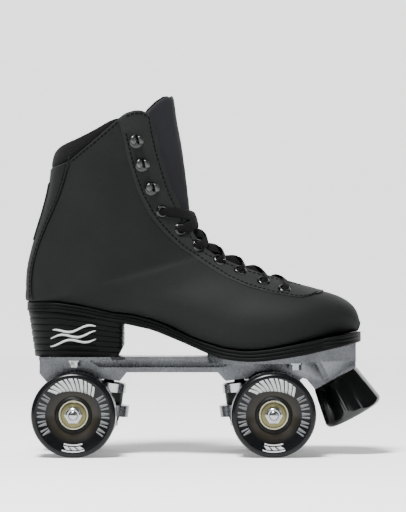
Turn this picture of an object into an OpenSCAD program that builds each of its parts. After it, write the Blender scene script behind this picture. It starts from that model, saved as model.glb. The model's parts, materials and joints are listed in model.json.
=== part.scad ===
// Quad roller skate: a lace-up boot on a cast plate, two sprung trucks, four wheels and a toe stop.
// X runs to the toe, Z is up and Y runs to the inner (medial) side of the foot. Z = 0 is the ground.

/* [Wheels] */
// Diameter of a wheel
wheel_d = 62; // [58:1:62]
// Width of a wheel
wheel_w = 32; // [30:1:32]
// Distance of a wheel's middle from the skate's middle plane
wheel_y = 35.5; // [35.5:0.5:38]
// Place of the rear axle along the skate
rear_axle_x = -94.8; // [-95.5:0.1:-94]
// Place of the front axle along the skate
front_axle_x = 51.3; // [50.5:0.1:52]

/* [Trucks] */
// Lean of the kingpins, with the lower end towards the axle
kingpin_lean = 8.1; // [6:0.1:10]
// Radius of the ring that holds the cushions
ring_r = 17.7; // [16.5:0.1:18]
// Thickness of the ring
ring_h = 8.3; // [7:0.1:9]
// Radius of the cushions
cushion_r = 12; // [11:0.5:12]
// Diameter of an axle
axle_d = 7; // [6:0.5:7]

/* [Boot] */
// Thickness of the boot's leather
leather = 2; // [1.6:0.1:2.2]
// Thickness of the lining
lining_t = 1.5; // [1:0.1:1.8]
// Thickness of the overlays sewn on the leather
overlay_t = 0.9; // [0.6:0.1:1.2]
// Thickness of the padded collar
collar_t = 7; // [5:0.5:8]
// Thickness of the tongue's padding
tongue_t = 4; // [3:0.5:5]

/* [Laces] */
// Width of the flat lace
lace_w = 6.5; // [5:0.5:7]
// Thickness of the flat lace
lace_t = 1.2; // [0.8:0.1:1.4]

/* [Sole] */
// Depth of the grooves round the sole and heel
groove = 0.7; // [0.3:0.1:1]
// Layers in the stacked heel
heel_layers = 7; // [5:1:8]

/* [Toe stop] */
// Tilt of the toe stop from upright
stop_tilt = 28.5; // [27:0.5:30]
// Width of the toe stop where it meets the plate
stop_top_d = 36; // [34:0.5:36]
// Width of the toe stop's foot
stop_foot_d = 45.7; // [44:0.1:46]
// Height of the toe stop
stop_h = 31.4; // [30:0.1:32]

/* [Hidden] */
$fn = 48;
axle_z = wheel_d / 2;
lateral = -1;
medial = 1;
rear = 1;
front = -1;

// ---- Boot form ----
// One ring round the foot per row, from the cuff to the toe. A row holds the ring's back or bottom x and z, its
// front or top x and z, its lateral and medial half widths, its sideways shift, where along it it is widest
// (0 to 1), and how square its back half and its front half are (2 is an ellipse).
RINGS = [
    [-111.8, 242, -21, 262, 38.5, 38.5, 0, 0.47, 2.2, 2.1],
    [-112.6, 220, -19, 248, 38, 38, 0, 0.46, 2.2, 2.1],
    [-114.6, 200, -15.5, 230, 37, 36.5, 0, 0.45, 2.2, 2.05],
    [-118.6, 183, -12.5, 210, 35.5, 35, 0, 0.44, 2.2, 2],
    [-123, 168.5, -10, 193, 34.5, 34, 0, 0.42, 2.2, 1.95],
    [-127.5, 153, -6.5, 179, 34, 33.5, 0, 0.4, 2.3, 1.9],
    [-130.7, 138, -1.8, 167, 33.5, 33, 0, 0.38, 2.4, 1.85],
    [-131.5, 124, 5, 158, 33.5, 33, 0, 0.36, 2.4, 1.8],
    [-130, 113.2, 11, 152.9, 33.5, 32.8, 0, 0.34, 2.6, 1.75],
    [-112, 112.6, 16.5, 149.4, 33.5, 32.5, 0, 0.32, 5, 1.72],
    [-92, 110.2, 22.5, 146.2, 33, 32, 0, 0.3, 7, 1.7],
    [-71, 106, 29, 143.2, 33, 31.5, 0, 0.28, 8, 1.7],
    [-50, 103.4, 35.5, 140, 34, 32, 0, 0.27, 8, 1.7],
    [-28, 97, 43, 136.4, 36, 34, -0.5, 0.28, 8, 1.75],
    [-6, 86.2, 52, 132.9, 39, 37.5, -1, 0.3, 8, 1.8],
    [16, 79.1, 62, 129.4, 42, 41, -1.5, 0.32, 8, 1.9],
    [37, 77.4, 73, 125.5, 43.5, 42.5, -1.5, 0.33, 8, 2],
    [57, 80.2, 84, 122.2, 42.5, 41, -0.5, 0.35, 8, 2.1],
    [75, 83.7, 94.5, 119.6, 38, 37, 1, 0.38, 7, 2.2],
    [90, 86.8, 103.3, 116.2, 31.5, 31, 2.5, 0.4, 6, 2.3],
    [101, 88.8, 110.1, 111.7, 24, 24, 3.5, 0.42, 5, 2.3],
    [109.4, 90.2, 114.5, 106, 15.5, 15.5, 4, 0.45, 4, 2.3],
    [114.8, 91, 117, 98.4, 6, 6, 4, 0.5, 3, 2.2]];
last_ring = len(RINGS) - 1;
cuff_ring = 2.6;
collar_angle = 72;
stiffener_t = 1.2;
// Air left between two sewn layers, so that their facets stay apart
seam_gap = 0.2;
inner_depth = leather + stiffener_t + lining_t;
throat_end = 16.6;
facing_end = 17.5;
// Height of the leather's upper edge, by x
LEATHER_TOP = [[-120, 211.5], [-112, 212.5], [-99.6, 216.6], [-81, 231.6], [-62.9, 247.4], [-57.4, 251.8],
    [-50.7, 254], [-45.2, 254], [-42, 252.5], [-39.5, 250.2], [-37.6, 247.6], [-36, 244.4], [-30, 236]];
// Height of the padded collar's upper edge, by x
COLLAR_TOP = [[-120, 222], [-112.6, 225], [-108.9, 228.6], [-94, 234.6], [-84.3, 238.9], [-75.3, 243.3],
    [-68.6, 247], [-60, 249.2], [-30, 246]];
// Height of the facing's sewn edge, by x
FACING_EDGE = [[-63.5, 256], [-61.8, 247.5], [-59.2, 234], [-54.6, 213], [-49.2, 195.3], [-43.2, 182.7],
    [-37.8, 173.8], [-29.3, 164], [-20.8, 155.5], [-11.7, 149], [0.8, 140.4], [15.2, 131.6], [31.5, 124.7],
    [49.1, 119.8], [69.6, 116.5], [76, 117], [81.6, 118.7], [88, 122]];
// Half the gap between the facing's two edges, by ring
THROAT_GAP = [[0, 30], [1, 29.5], [2, 27], [3, 23], [4, 18.5], [5, 14.5], [6, 12], [8, 10.5], [12, 9.5], [15, 8],
    [16.2, 4.5], [16.6, 0]];
// Angle of the back strip's edge, by ring
BACKSTAY_ANGLE = [[0, 126], [1, 128], [2, 134], [3, 140], [4, 146], [5, 150], [6, 152], [7, 153], [8, 150]];
EYELETS = [[-30.6, 180], [-17.2, 166.9], [-4.1, 154.7], [11.9, 143.8], [27.1, 136.1], [44.2, 128],
    [59.6, 122.3]];
HOOKS = [[-49.9, 231.9], [-45.7, 214.7], [-38.8, 197.4]];

// Blend of four rows by the Catmull-Rom curve
function blend(a, b, c, d, t) = (2 * b + (c - a) * t + (2 * a - 5 * b + 4 * c - d) * t * t
    + (3 * b - a - 3 * c + d) * t * t * t) / 2;
function row_index(s) = min(last_ring - 1, max(0, floor(s)));
function ring_at(s) = let(i = row_index(s)) s < 0
    ? RINGS[0] + s * (RINGS[1] - RINGS[0])
    : blend(RINGS[max(0, i - 1)], RINGS[i], RINGS[i + 1], RINGS[min(last_ring, i + 2)], s - i);
function step01(t) = let(u = min(1, max(0, t))) u * u * (3 - 2 * u);
function mix(a, b, t) = a + (b - a) * t;

// Point of the boot on ring s at an angle round it, moved in by a depth. Angle 0 is the front or top line,
// 180 the back or bottom line, and a negative angle is on the lateral side.
function boot_point(s, angle, depth = 0) = let(
    turn = angle > 180 ? angle - 360 : angle,
    r = ring_at(s),
    back = [r[0], r[1]],
    along = [r[2], r[3]] - back,
    reach = norm(along),
    half = (turn < 0 ? r[4] : r[5]) - depth,
    behind = abs(turn) > 90,
    power = 2 / (behind ? r[8] : r[9]),
    rise = pow(abs(cos(turn)), power),
    part = behind ? r[7] * (1 - rise) : r[7] + (1 - r[7]) * rise,
    place = back + along / reach * (depth + part * (reach - 2 * depth)),
    toe = step01((s - last_ring + 3) / 3)
) [place[0] - depth * toe, r[6] + sign(turn) * half * pow(abs(sin(turn)), power), place[1]];

// Angle on ring s whose half width is w, towards the front
function angle_of_width(s, w) = let(r = ring_at(s)) asin(pow(min(1, w / r[4]), r[9] / 2));
// Angle on ring s at a part of its length from back (0) to front (1)
function angle_of_part(s, part) = let(r = ring_at(s)) part > r[7]
    ? acos(pow((part - r[7]) / (1 - r[7]), r[9] / 2))
    : 180 - acos(pow(max(0, 1 - part / r[7]), r[8] / 2));
// Ring through a side-view point, by halving
function ring_of(x, z, low = 0, high = last_ring, k = 16) = let(mid = (low + high) / 2, r = ring_at(mid)) k == 0
    ? mid
    : (r[2] - r[0]) * (z - r[1]) - (r[3] - r[1]) * (x - r[0]) < 0
        ? ring_of(x, z, mid, high, k - 1)
        : ring_of(x, z, low, mid, k - 1);
function part_of(s, x, z) = let(r = ring_at(s), d = [r[2] - r[0], r[3] - r[1]])
    ((x - r[0]) * d[0] + (z - r[1]) * d[1]) / (d * d);
function angle_of(s, x, z) = angle_of_part(s, part_of(s, x, z));
// Ring at which a column of the given angle meets an edge line
function ring_under(edge, angle, low = 0, high = 3.6, k = 12) = let(mid = (low + high) / 2,
    p = boot_point(mid, angle)) k == 0
    ? mid
    : p[2] > lookup(p[0], edge)
        ? ring_under(edge, angle, mid, high, k - 1)
        : ring_under(edge, angle, low, mid, k - 1);
// Part of ring s at which it meets the facing's sewn edge
function facing_part(s, low = 0.35, high = 1, k = 12) = let(mid = (low + high) / 2, r = ring_at(s),
    x = mix(r[0], r[2], mid), z = mix(r[1], r[3], mid)) k == 0
    ? mid
    : z > lookup(x, FACING_EDGE) ? facing_part(s, low, mid, k - 1) : facing_part(s, mid, high, k - 1);
function throat_angle(s) = s >= throat_end ? 0 : angle_of_width(s, lookup(s, THROAT_GAP));

// Closed sheet between an outer and an inner grid of points. seam names two columns that become one from row
// seam_from on. A capped sheet closes over its last row on both sides, like the toe of a sock.
module sheet(outer, inner, seam = [-1, -1], seam_from = 1000, cap = false, loop = false) {
    rows = len(outer);
    cols = len(outer[0]);
    under = rows * cols;
    tip = 2 * under;
    function at(i, j) = i * cols + (i >= seam_from && j == seam[1] ? seam[0] : j);
    function joined(j) = !(j == seam[0] && seam[1] == j + 1);
    function quad(a, b, c, d) = [if (a != b && b != c && a != c) [a, b, c],
        if (a != c && c != d && a != d) [a, c, d]];
    skin = [for (i = [0:rows - 2], j = [0:cols - 2]) if (joined(j)) each concat(
        quad(at(i, j), at(i, j + 1), at(i + 1, j + 1), at(i + 1, j)),
        quad(under + at(i + 1, j), under + at(i + 1, j + 1), under + at(i, j + 1), under + at(i, j)))];
    start_edge = [for (j = [0:cols - 2]) if (joined(j)) each quad(under + at(0, j), under + at(0, j + 1),
        at(0, j + 1), at(0, j))];
    e = rows - 1;
    end_edge = cap
        ? [for (j = [0:cols - 2]) each concat(quad(at(e, j), at(e, j + 1), tip, tip),
            quad(under + at(e, j + 1), under + at(e, j), tip + 1, tip + 1))]
        : [for (j = [0:cols - 2]) if (joined(j)) each quad(at(e, j), at(e, j + 1), under + at(e, j + 1),
            under + at(e, j))];
    function wall(c, i, side) = side > 0
        ? quad(at(i, c), at(i + 1, c), under + at(i + 1, c), under + at(i, c))
        : quad(under + at(i, c), under + at(i + 1, c), at(i + 1, c), at(i, c));
    walls = [for (i = [0:rows - 2]) each concat(
        loop && i >= seam_from ? [] : wall(0, i, 1),
        loop && i >= seam_from ? [] : wall(cols - 1, i, -1),
        seam[1] == seam[0] + 1 && i < seam_from ? concat(wall(seam[0], i, -1), wall(seam[1], i, 1)) : [])];
    middle = [for (g = [outer, inner]) [for (k = [0:2]) let(line = [for (p = g[e]) p[k]])
        (min(line) + max(line)) / 2]];
    polyhedron(concat([for (r = outer) each r], [for (r = inner) each r], middle),
        concat(skin, start_edge, end_edge, walls));
}

// Sleeve of the whole boot, open along the throat, between two depths. start gives the ring at which the column
// of an angle begins; the rows are even from ring settle to ring stop.
module sleeve(start, outer_depth, inner_depth, settle, stop, top_rows, rows, cols) {
    body = rows - top_rows;
    split = top_rows + ceil((throat_end - settle) / (stop - settle) * body);
    function grid(depth) = [for (k = [0:rows]) let(common = mix(settle, stop, max(0, k - top_rows) / body),
        open = throat_angle(k < top_rows ? settle * k / top_rows : common)) [for (j = [0:cols]) let(
        a = k < split ? mix(open, 360 - open, j / cols) : 360 * j / cols,
        s = k < top_rows ? mix(start(a > 180 ? a - 360 : a), settle, k / top_rows) : common)
        boot_point(s, a, depth)]];
    sheet(grid(outer_depth), grid(inner_depth), [0, cols], split, true, true);
}

// Patch of the boot between two rings and two angle functions, between two depths
module patch(s0, s1, rows, cols, from, to, outer_depth, inner_depth) {
    function grid(depth) = [for (k = [0:rows]) let(s = mix(s0, s1, k / rows)) [for (j = [0:cols])
        boot_point(s, mix(lookup(s, from), lookup(s, to), j / cols), depth)]];
    sheet(grid(outer_depth), grid(inner_depth));
}

// Moves its children to the boot's surface at a side-view point, with +Z pointing out
module on_boot(place, side) {
    s = ring_of(place[0], place[1]);
    a = side * angle_of(s, place[0], place[1]);
    p = boot_point(s, a);
    u = boot_point(s + 0.05, a) - p;
    v = boot_point(s, a + 1) - p;
    out = side * cross(u, v);
    n = out * sign(out[1] * side) / norm(out);
    translate(p)
        rotate([0, acos(n[2]), atan2(n[1], n[0])])
            children();
}

// Holes for the eyelets and the hooks through every layer of the boot
module fitting_holes() {
    for (side = [lateral, medial]) {
        for (place = EYELETS)
            on_boot(place, side)
                translate([0, 0, -9]) cylinder(r = 3.4, h = 14, $fn = 8);
        for (place = HOOKS)
            on_boot(place, side)
                translate([0, 0, -9]) cylinder(r = 1.7, h = 14, $fn = 6);
    }
}

// Holes for the mounting bolts through the sole and the heel
module bolt_holes() {
    for (side = [lateral, medial], place = BOLTS)
        translate([place[0], side * bolt_y, 60]) cylinder(d = 6, h = 70, $fn = 8);
}

module upper() {
    color("#2e3030")
        resize([0, 0, 0]) difference() {
            sleeve(function(a) ring_under(LEATHER_TOP, a), 0, leather, cuff_ring, last_ring, 4, 32, 30);
            fitting_holes();
            bolt_holes();
        }
}

module lining() {
    depth = leather + stiffener_t;
    // It ends under the leather's edge at the front and under the padded collar behind
    start = function(a) abs(a) < collar_angle - 4 ? ring_under(LEATHER_TOP, a) + 0.03 : cuff_ring + 0.5;
    color("#141414")
        resize([0, 0, 0]) difference() {
            sleeve(start, depth, depth + lining_t, cuff_ring + 0.6, last_ring, 2, 20, 24);
            fitting_holes();
            bolt_holes();
        }
}

module facing() {
    cols = 5;
    rows = 24;
    // Rows close up towards the tip, where the edge turns
    function ring(k) = facing_end - (facing_end - 0.2) * pow(1 - k / rows, 1.3);
    // From here on the edge rounds off to the facing's tip
    tip = 17;
    function outer_angle(s) = s > tip
        ? angle_of_part(tip, facing_part(tip)) * sqrt(max(0, 1 - pow((s - tip) / (facing_end + 0.03 - tip), 2)))
        : angle_of_part(s, facing_part(s));
    function column(s, j, split) = let(side = j <= cols ? lateral : medial,
        t = j <= cols ? 1 - j / cols : (j - cols - 1) / cols)
        side * mix(split ? throat_angle(s) : 0, outer_angle(s), t);
    split_row = len([for (k = [0:rows]) if (ring(k) < throat_end) k]);
    function grid(depth) = [for (k = [0:rows]) [for (j = [0:2 * cols + 1]) let(s = ring(k),
        a = column(s, j, k < split_row), top = k < 4 ? mix(ring_under(LEATHER_TOP, a), ring(4), k / 4) : s)
        boot_point(top, a, depth)]];
    color("#363838")
        resize([0, 0, 0]) difference() {
            sheet(grid(-overlay_t), grid(-seam_gap), [cols, cols + 1], split_row);
            fitting_holes();
        }
}

module backstay() {
    rows = 16;
    cols = 12;
    function grid(depth) = [for (k = [0:rows]) [for (j = [0:cols]) let(s = mix(0.9, 7.9, k / rows),
        edge = lookup(s, BACKSTAY_ANGLE), a = mix(edge, 360 - edge, j / cols),
        top = k < 4 ? mix(ring_under(LEATHER_TOP, a > 180 ? a - 360 : a), mix(0.9, 7.9, 4 / rows), k / 4) : s)
        boot_point(top, a, depth)]];
    color("#2a2b2b") sheet(grid(-overlay_t), grid(-seam_gap));
}

module pull_tab() {
    color("#1c1c1c")
        patch(1.9, 4.6, 8, 4, [[0, 168], [9, 168]], [[0, 192], [9, 192]],
            -overlay_t - 0.7, -overlay_t - seam_gap);
}

module collar_padding() {
    cols = 30;
    bottom = cuff_ring + 0.4;
    outer = leather + 0.25;
    middle = leather + collar_t / 2;
    // Rows from the crown down: how far from the collar's edge to the leather's, and the two depths there
    crown = [[0, 2.4, middle + 1], [0.12, 0.7, leather + collar_t - 1.2], [0.5, 0.1, leather + collar_t],
        [0.93, 0.2, leather + collar_t]];
    wall = [[0, outer, leather + collar_t], [0.5, outer, leather + collar_t - 0.5],
        [1, outer, leather + collar_t - 2]];
    function angle_at(j) = mix(collar_angle, 360 - collar_angle, j / cols);
    function signed(a) = a > 180 ? a - 360 : a;
    function grid(inside) = [for (r = concat([for (c = crown) [c, true]], [for (w = wall) [w, false]]))
        [for (j = [0:cols]) let(a = angle_at(j), edge = ring_under(LEATHER_TOP, signed(a)),
            s = r[1] ? mix(ring_under(COLLAR_TOP, signed(a)), edge, r[0][0]) : mix(edge, bottom, r[0][0]))
            boot_point(s, a, r[0][inside ? 2 : 1])]];
    color("#0c0c0c") sheet(grid(false), grid(true));
}

module tongue_sheet(outer_depth, inner_depth) {
    rows = 20;
    cols = 10;
    function half_angle(s) = let(rounding = s < 0.6 ? sqrt(max(0.06, 1 - pow((0.6 - s) / 1.05, 1.25))) : 1)
        rounding * angle_of_width(max(0, s), lookup(s, [[0, 33], [3, 29], [6, 23], [12, 20], [16.4, 15]]));
    function lift(s, a) = let(open = max(8, throat_angle(max(0, s))), low = 2.2 * step01((s - 3.6) / 2))
        mix(low, inner_depth + 1.1, step01(abs(a) / open / 0.8));
    function grid(depth) = [for (k = [0:rows]) [for (j = [0:cols]) let(s = mix(-0.42, 16.4, k / rows),
        a = half_angle(s) * mix(-1, 1, j / cols)) boot_point(s, a, depth + lift(s, a))]];
    sheet(grid(outer_depth), grid(inner_depth));
}

module tongue() {
    color("#2c2c2f") tongue_sheet(0.2, tongue_t);
}

module tongue_lining() {
    color("#161616") tongue_sheet(tongue_t + 0.01, tongue_t + 1.2);
}

module heel_counter() {
    color("#8a7350")
        patch(4.2, 8, 8, 20, [[0, 100], [9, 92]], [[0, 260], [9, 268]], leather + seam_gap,
            leather + stiffener_t - seam_gap);
}

module toe_puff() {
    color("#8a7350")
        patch(18.6, 21, 8, 20, [[0, -90], [30, -90]], [[0, 90], [30, 90]], leather + seam_gap,
            leather + stiffener_t - seam_gap);
}

// ---- Sole ----
// Half widths of the sole by x: lateral, medial
SOLE_SIDE = [[-100, 31.5, 31], [-75, 31, 30], [-55, 30, 28.5], [-35, 30.5, 28], [-15, 34, 31], [5, 39.5, 36.5],
    [25, 43.6, 41], [45, 45.2, 42.8], [62, 44, 41.6], [76, 41, 39.6], [88, 36.5, 36.5]];
SOLE_TOP = [[-132, 113.2], [-108.4, 112.7], [-88.3, 109.9], [-68.6, 105.5], [-49.2, 103.8], [-31.4, 98.2],
    [-20.8, 93], [-2.5, 84.5], [15.2, 79], [31.4, 77], [49, 78.7], [67.9, 82.2], [92, 87.3], [118, 90.8]];
SOLE_FOOT = [[-132, 106.6], [-108.4, 106.1], [-88.3, 103.2], [-68.6, 98.8], [-58.9, 97.4], [-37.5, 92.7],
    [-14.2, 83.2], [3.4, 75.4], [12.4, 71.9], [24.9, 70.1], [34.4, 69.6], [44.1, 70.1], [60, 72.2],
    [75.8, 74.7], [100.4, 80.2], [118, 83.9]];
sole_back_x = -131.4;
sole_front_x = 117.6;
heel_centre_x = -100;
toe_centre_x = 88;

function sole_half(x, side) = side < 0
    ? lookup(x, [for (r = SOLE_SIDE) [r[0], r[1]]])
    : lookup(x, [for (r = SOLE_SIDE) [r[0], r[2]]]);
// Outline point number k of n along the sole: x, lateral y, medial y
function sole_station(k, n, margin) = let(
    t = k / n,
    heel = heel_centre_x - (heel_centre_x - sole_back_x - margin) * cos(90 * t / 0.2),
    toe = toe_centre_x + (sole_front_x - margin - toe_centre_x) * sin(90 * (t - 0.8) / 0.2),
    x = t < 0.2 ? heel : t > 0.8 ? toe : mix(heel_centre_x, toe_centre_x, (t - 0.2) / 0.6),
    round_end = t < 0.2 ? pow(sin(90 * t / 0.2), 0.9) : t > 0.8 ? pow(cos(90 * (t - 0.8) / 0.2), 0.85) : 1,
    shift = t > 0.8 ? 4 * (1 - round_end) : 0
) [x, shift - (sole_half(x, lateral) - margin) * round_end,
    shift + (sole_half(x, medial) - margin) * round_end];

// Closed skin over rings of points, with flat ends
module skin(rings) {
    n = len(rings[0]);
    e = len(rings) - 1;
    points = [for (r = rings) each r];
    sides = [for (i = [0:e - 1], j = [0:n - 1]) let(k = (j + 1) % n)
        each [[i * n + j, i * n + k, (i + 1) * n + k],
        [i * n + j, (i + 1) * n + k, (i + 1) * n + j]]];
    ends = concat([for (j = [1:n - 2]) [0, j + 1, j]], [for (j = [1:n - 2]) [e * n, e * n + j, e * n + j + 1]]);
    polyhedron(points, concat(sides, ends));
}

// Slab that follows the sole between two height curves, with side grooves at the given parts of its thickness
module sole_slab(top_curve, top_shift, foot_curve, foot_shift, margin, grooves, n = 44) {
    function edge(x, y, side) = let(top = lookup(x, top_curve) + top_shift,
        foot = lookup(x, foot_curve) + foot_shift)
        [for (g = grooves) [x, y - side * min(abs(y), g[1]), mix(foot, top, g[0])]];
    function reversed(list) = [for (i = [len(list) - 1:-1:0]) list[i]];
    skin([for (k = [0.25, each [1:n - 1], n - 0.25]) let(p = sole_station(k, n, margin))
        concat(edge(p[0], p[1], lateral), reversed(edge(p[0], p[2], medial)))]);
}

module outsole() {
    color("#1c1e1f")
        resize([0, 0, 0]) difference() {
            sole_slab(SOLE_TOP, 0, SOLE_FOOT, 0, 0, [[0, 0.6], [0.08, 0],
                [0.3, 0], [0.34, groove], [0.42, groove],
                [0.46, 0], [0.62, 0], [0.66, groove], [0.74, groove], [0.78, 0], [1, 0]]);
            bolt_holes();
        }
}

module insole_board() {
    color("#9a8560")
        resize([0, 0, 0]) difference() {
            sole_slab(SOLE_TOP, 7.4, SOLE_TOP, 5.4, 11, [[0, 0], [1, 0]], 30);
            bolt_holes();
        }
}

module insole() {
    color("#2a2a2c")
        sole_slab(SOLE_TOP, 11.4, SOLE_TOP, 7.5, 11, [[0, 0], [0.9, 0], [1, 0.8]], 30);
}

module heel_block() {
    floor_z = 72.5;
    cols = 14;
    function breast(t) = mix(-63.5, -59.4, min(1, t * 3.2));
    function outline(t, inset) = let(back = mix(-125.4, -130.4, t) + inset, half = mix(27, 30.6, t) - inset,
        breast_x = breast(t) - inset, centre = -98) concat(
        [for (j = [-cols:cols]) let(a = 90 * j / cols) [centre - (centre - back) * pow(cos(a), 0.85),
            sign(a) * half * pow(abs(sin(a)), 0.85)]],
        [[breast_x - 6, half], [breast_x, half - 5], [breast_x, 5 - half], [breast_x - 6, -half]]);
    function level(t, inset) = [for (p = outline(t, inset)) [p[0], p[1],
        mix(floor_z, lookup(p[0], SOLE_FOOT), t)]];
    rows = concat([[0, 0.6], [0.02, 0]], [for (k = [1:heel_layers - 1]) let(t = k / heel_layers)
        each [[t - 0.022, 0], [t - 0.012, groove], [t + 0.012, groove], [t + 0.022, 0]]], [[1, 0]]);
    color("#1c1e1f")
        resize([0, 0, 0]) difference() {
            skin([for (r = rows) level(r[0], r[1])]);
            bolt_holes();
        }
}

// ---- Laces and their fittings ----
module eyelet() {
    rotate_extrude()
        polygon([[2.5, 1.5], [2.9, 1.9], [3.7, 1.9], [4.2, 1.5], [5, 1.3], [5, 1], [3, 1], [3, -4.75],
            [3.7, -4.95], [3.7, -5.2], [2.5, -5.2]]);
}

module eyelets(side) {
    color("#17181a")
        for (place = EYELETS)
            on_boot(place, side) eyelet();
}

module eyelets_lateral() { eyelets(lateral); }
module eyelets_medial() { eyelets(medial); }

// Speed hook: a round base with a domed lip held off it by a neck
module hook() {
    dome = [for (a = [0:15:90]) [4.7 * cos(a), 4.3 + 2.1 * sin(a)]];
    rotate_extrude()
        polygon(concat([[0, -4.9], [1.3, -4.9], [1.3, 1], [4.3, 1], [4.3, 2], [1.3, 2], [1.3, 3.6],
            [4.2, 3.6]], dome));
}

module hooks(side) {
    color("#3a3d40")
        for (place = HOOKS)
            on_boot(place, side) hook();
}

module hooks_lateral() { hooks(lateral); }
module hooks_medial() { hooks(medial); }

// Flat ribbon along a route of boot places [ring, angle, height above the leather]
function route_point(q) = boot_point(q[0], q[1], -q[2]);
module ribbon(route) {
    n = len(route);
    points = [for (q = route) route_point(q)];
    skin([for (i = [0:n - 1]) let(
        along = points[min(n - 1, i + 1)] - points[max(0, i - 1)],
        out = route_point(route[i] + [0, 0, 1]) - points[i],
        across = cross(out, along),
        w = across / norm(across) * lace_w / 2,
        up = cross(along, across),
        h = up / norm(up) * lace_t / 2)
        [points[i] + w - h, points[i] - w - h, points[i] - w + h, points[i] + w + h]]);
}
function eyelet_place(i) = let(place = EYELETS[i], s = ring_of(place[0], place[1]))
    [s, angle_of(s, place[0], place[1])];
// Route from eyelet i on one side to eyelet j on the other, rising over the facing and the tongue
function crossing(i, j, side, clear) = let(a = eyelet_place(i), b = eyelet_place(j))
    [for (k = [0:10]) let(t = k / 10,
    arch = sin(180 * t)) [mix(a[0], b[0], mix(0.02, 1, t)), side * mix(a[1], -b[1], t),
    mix(0.3 + clear / 8, clear, step01(1.6 * arch)) + 1.6 * sin(180 * min(1, 4 * min(t, 1 - t)))]];

module lace() {
    color("#151515")
        resize([0, 0, 0]) union() {
            for (i = [1:len(EYELETS) - 1]) {
                ribbon(crossing(i, i - 1, medial, 0.9));
                ribbon(crossing(i, i - 1, lateral, -0.5));
            }
            ribbon(crossing(len(EYELETS) - 1, len(EYELETS) - 1, lateral, 1.2));
        }
}

// ---- Plate ----
plate_top = 72.5;
web_half = 13;
// Middle of the cushion ring, from the axle: along x away from the pivot, and up
ring_dx = 21.5;
ring_dz = 2.6;
// Pivot ball, from the axle
pivot_dx = -17.7;
pivot_dz = 28.5;
hinge_angle = atan2(pivot_dz - ring_dz, ring_dx - pivot_dx);
stop_top = [98.3, 56.3];
bolt_y = 19;
BOLTS = [[-95.4, plate_top - 2.55], [68, plate_top - 4.55]];

// Puts its children in a truck's frame: x = 0 at the axle, growing towards the kingpin
module at_truck(end) {
    translate([end == rear ? rear_axle_x : front_axle_x, 0, axle_z])
        scale([end, 1, 1])
            children();
}
// Same by turning, for round parts that look alike from both sides
module at_ring(end) {
    translate([(end == rear ? rear_axle_x : front_axle_x) + end * ring_dx, 0, axle_z + ring_dz])
        rotate([0, end * kingpin_lean, 0])
            children();
}
module at_pivot(end) {
    translate([(end == rear ? rear_axle_x : front_axle_x) + end * pivot_dx, 0, axle_z + pivot_dz])
        rotate([0, end * (90 + hinge_angle), 0])
            children();
}
module side_profile(points, half) {
    rotate([90, 0, 0]) linear_extrude(2 * half, center = true) polygon(points);
}

WEB = [[-121.6, plate_top], [-121.6, 60], [-115, 52.2], [-110.6, 52.2], [-104.5, 59], [-100, 61],
    [-88.4, 61.2], [-82, 59], [-79, 56.8], [-62, 54.3], [-56.8, 60.8], [10.6, 60.8], [16.5, 54.3],
    [33.6, 56.8], [38.5, 60.6], [43, 61.6], [50.7, 61.8], [56.5, 60], [66.5, 52.4], [70.5, 52.4], [71.6, 55],
    [73.8, 56.5], [76.5, 55.6], [82.8, 48.2], [113, 64.6], [113, 86], [70, 86], [3, plate_top]];
FRONT_FLANGE = [[3, 67.8], [60, 67.8], [76, 69.4], [113, 69.4], [113, 88], [3, 88]];
FRONT_PLAN = [[3, 15], [14, 28], [26, 34], [44, 36.5], [62, 36], [78, 33], [92, 27], [103, 21], [113, 15.5]];
RECESS = [[-86, 70.4], [-77, 64.6], [14, 64.6], [22, 67], [22, 70.4]];

module plan_outline(half_points) {
    polygon(concat(half_points,
        [for (i = [len(half_points) - 1:-1:0]) [half_points[i][0], -half_points[i][1]]]));
}

module plate() {
    color("#c9ccd0")
        difference() {
            union() {
                side_profile(WEB, web_half);
                translate([0, 0, plate_top - 2.5]) linear_extrude(2.5)
                    plan_outline([[-121.6, 20], [-116, 24.5], [-68, 24.5], [-58, 15], [4, 15]]);
                intersection() {
                    side_profile(FRONT_FLANGE, 40);
                    translate([0, 0, 60]) linear_extrude(30) plan_outline(FRONT_PLAN);
                }
            }
            // Top trimmed to the sole
            side_profile(concat([for (p = SOLE_FOOT) if (p[0] > -20) p], [[118, 100], [-14.2, 100]]), 60);
            for (side = [lateral, medial]) {
                translate([0, side * web_half, 0]) side_profile(RECESS, 3);
                translate([0, side * web_half, 0])
                    side_profile([[82.2, 70.4], [85.8, 70.4], [93.4, 56.2], [89.8, 54]], 2);
                for (place = BOLTS)
                    translate([place[0], side * bolt_y, 60]) cylinder(d = 5.2, h = 30);
            }
            for (end = [rear, front]) {
                at_ring(end) translate([0, 0, 15]) cylinder(d = 8, h = 30);
                at_ring(end) translate([0, 0, 30.5]) cylinder(d = 16, h = 20);
                at_pivot(end) translate([0, 0, -6]) cylinder(d = 10, h = 20);
            }
            translate([stop_top[0], 0, stop_top[1]]) rotate([0, -stop_tilt, 0])
                translate([0, 0, -3]) cylinder(d = 15.9, h = 21.5);
        }
}

module pivot_cups() {
    color("#1a1a1a")
        for (end = [rear, front])
            at_pivot(end) difference() {
                translate([0, 0, -5.9]) cylinder(d = 9.94, h = 9.2);
                sphere(d = 7);
                cylinder(d = 7, h = 12);
            }
}

module mounting_bolts() {
    color("#c9cccf")
        for (place = BOLTS, side = [lateral, medial]) {
            head_z = lookup(place[0], SOLE_TOP) + 5.9;
            translate([place[0], side * bolt_y, 0]) {
                translate([0, 0, place[1] - 5.3]) cylinder(d = 5, h = head_z - place[1] + 5.3);
                translate([0, 0, head_z - 1.4]) cylinder(d = 5.4, h = 1.4);
            }
        }
}

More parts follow.
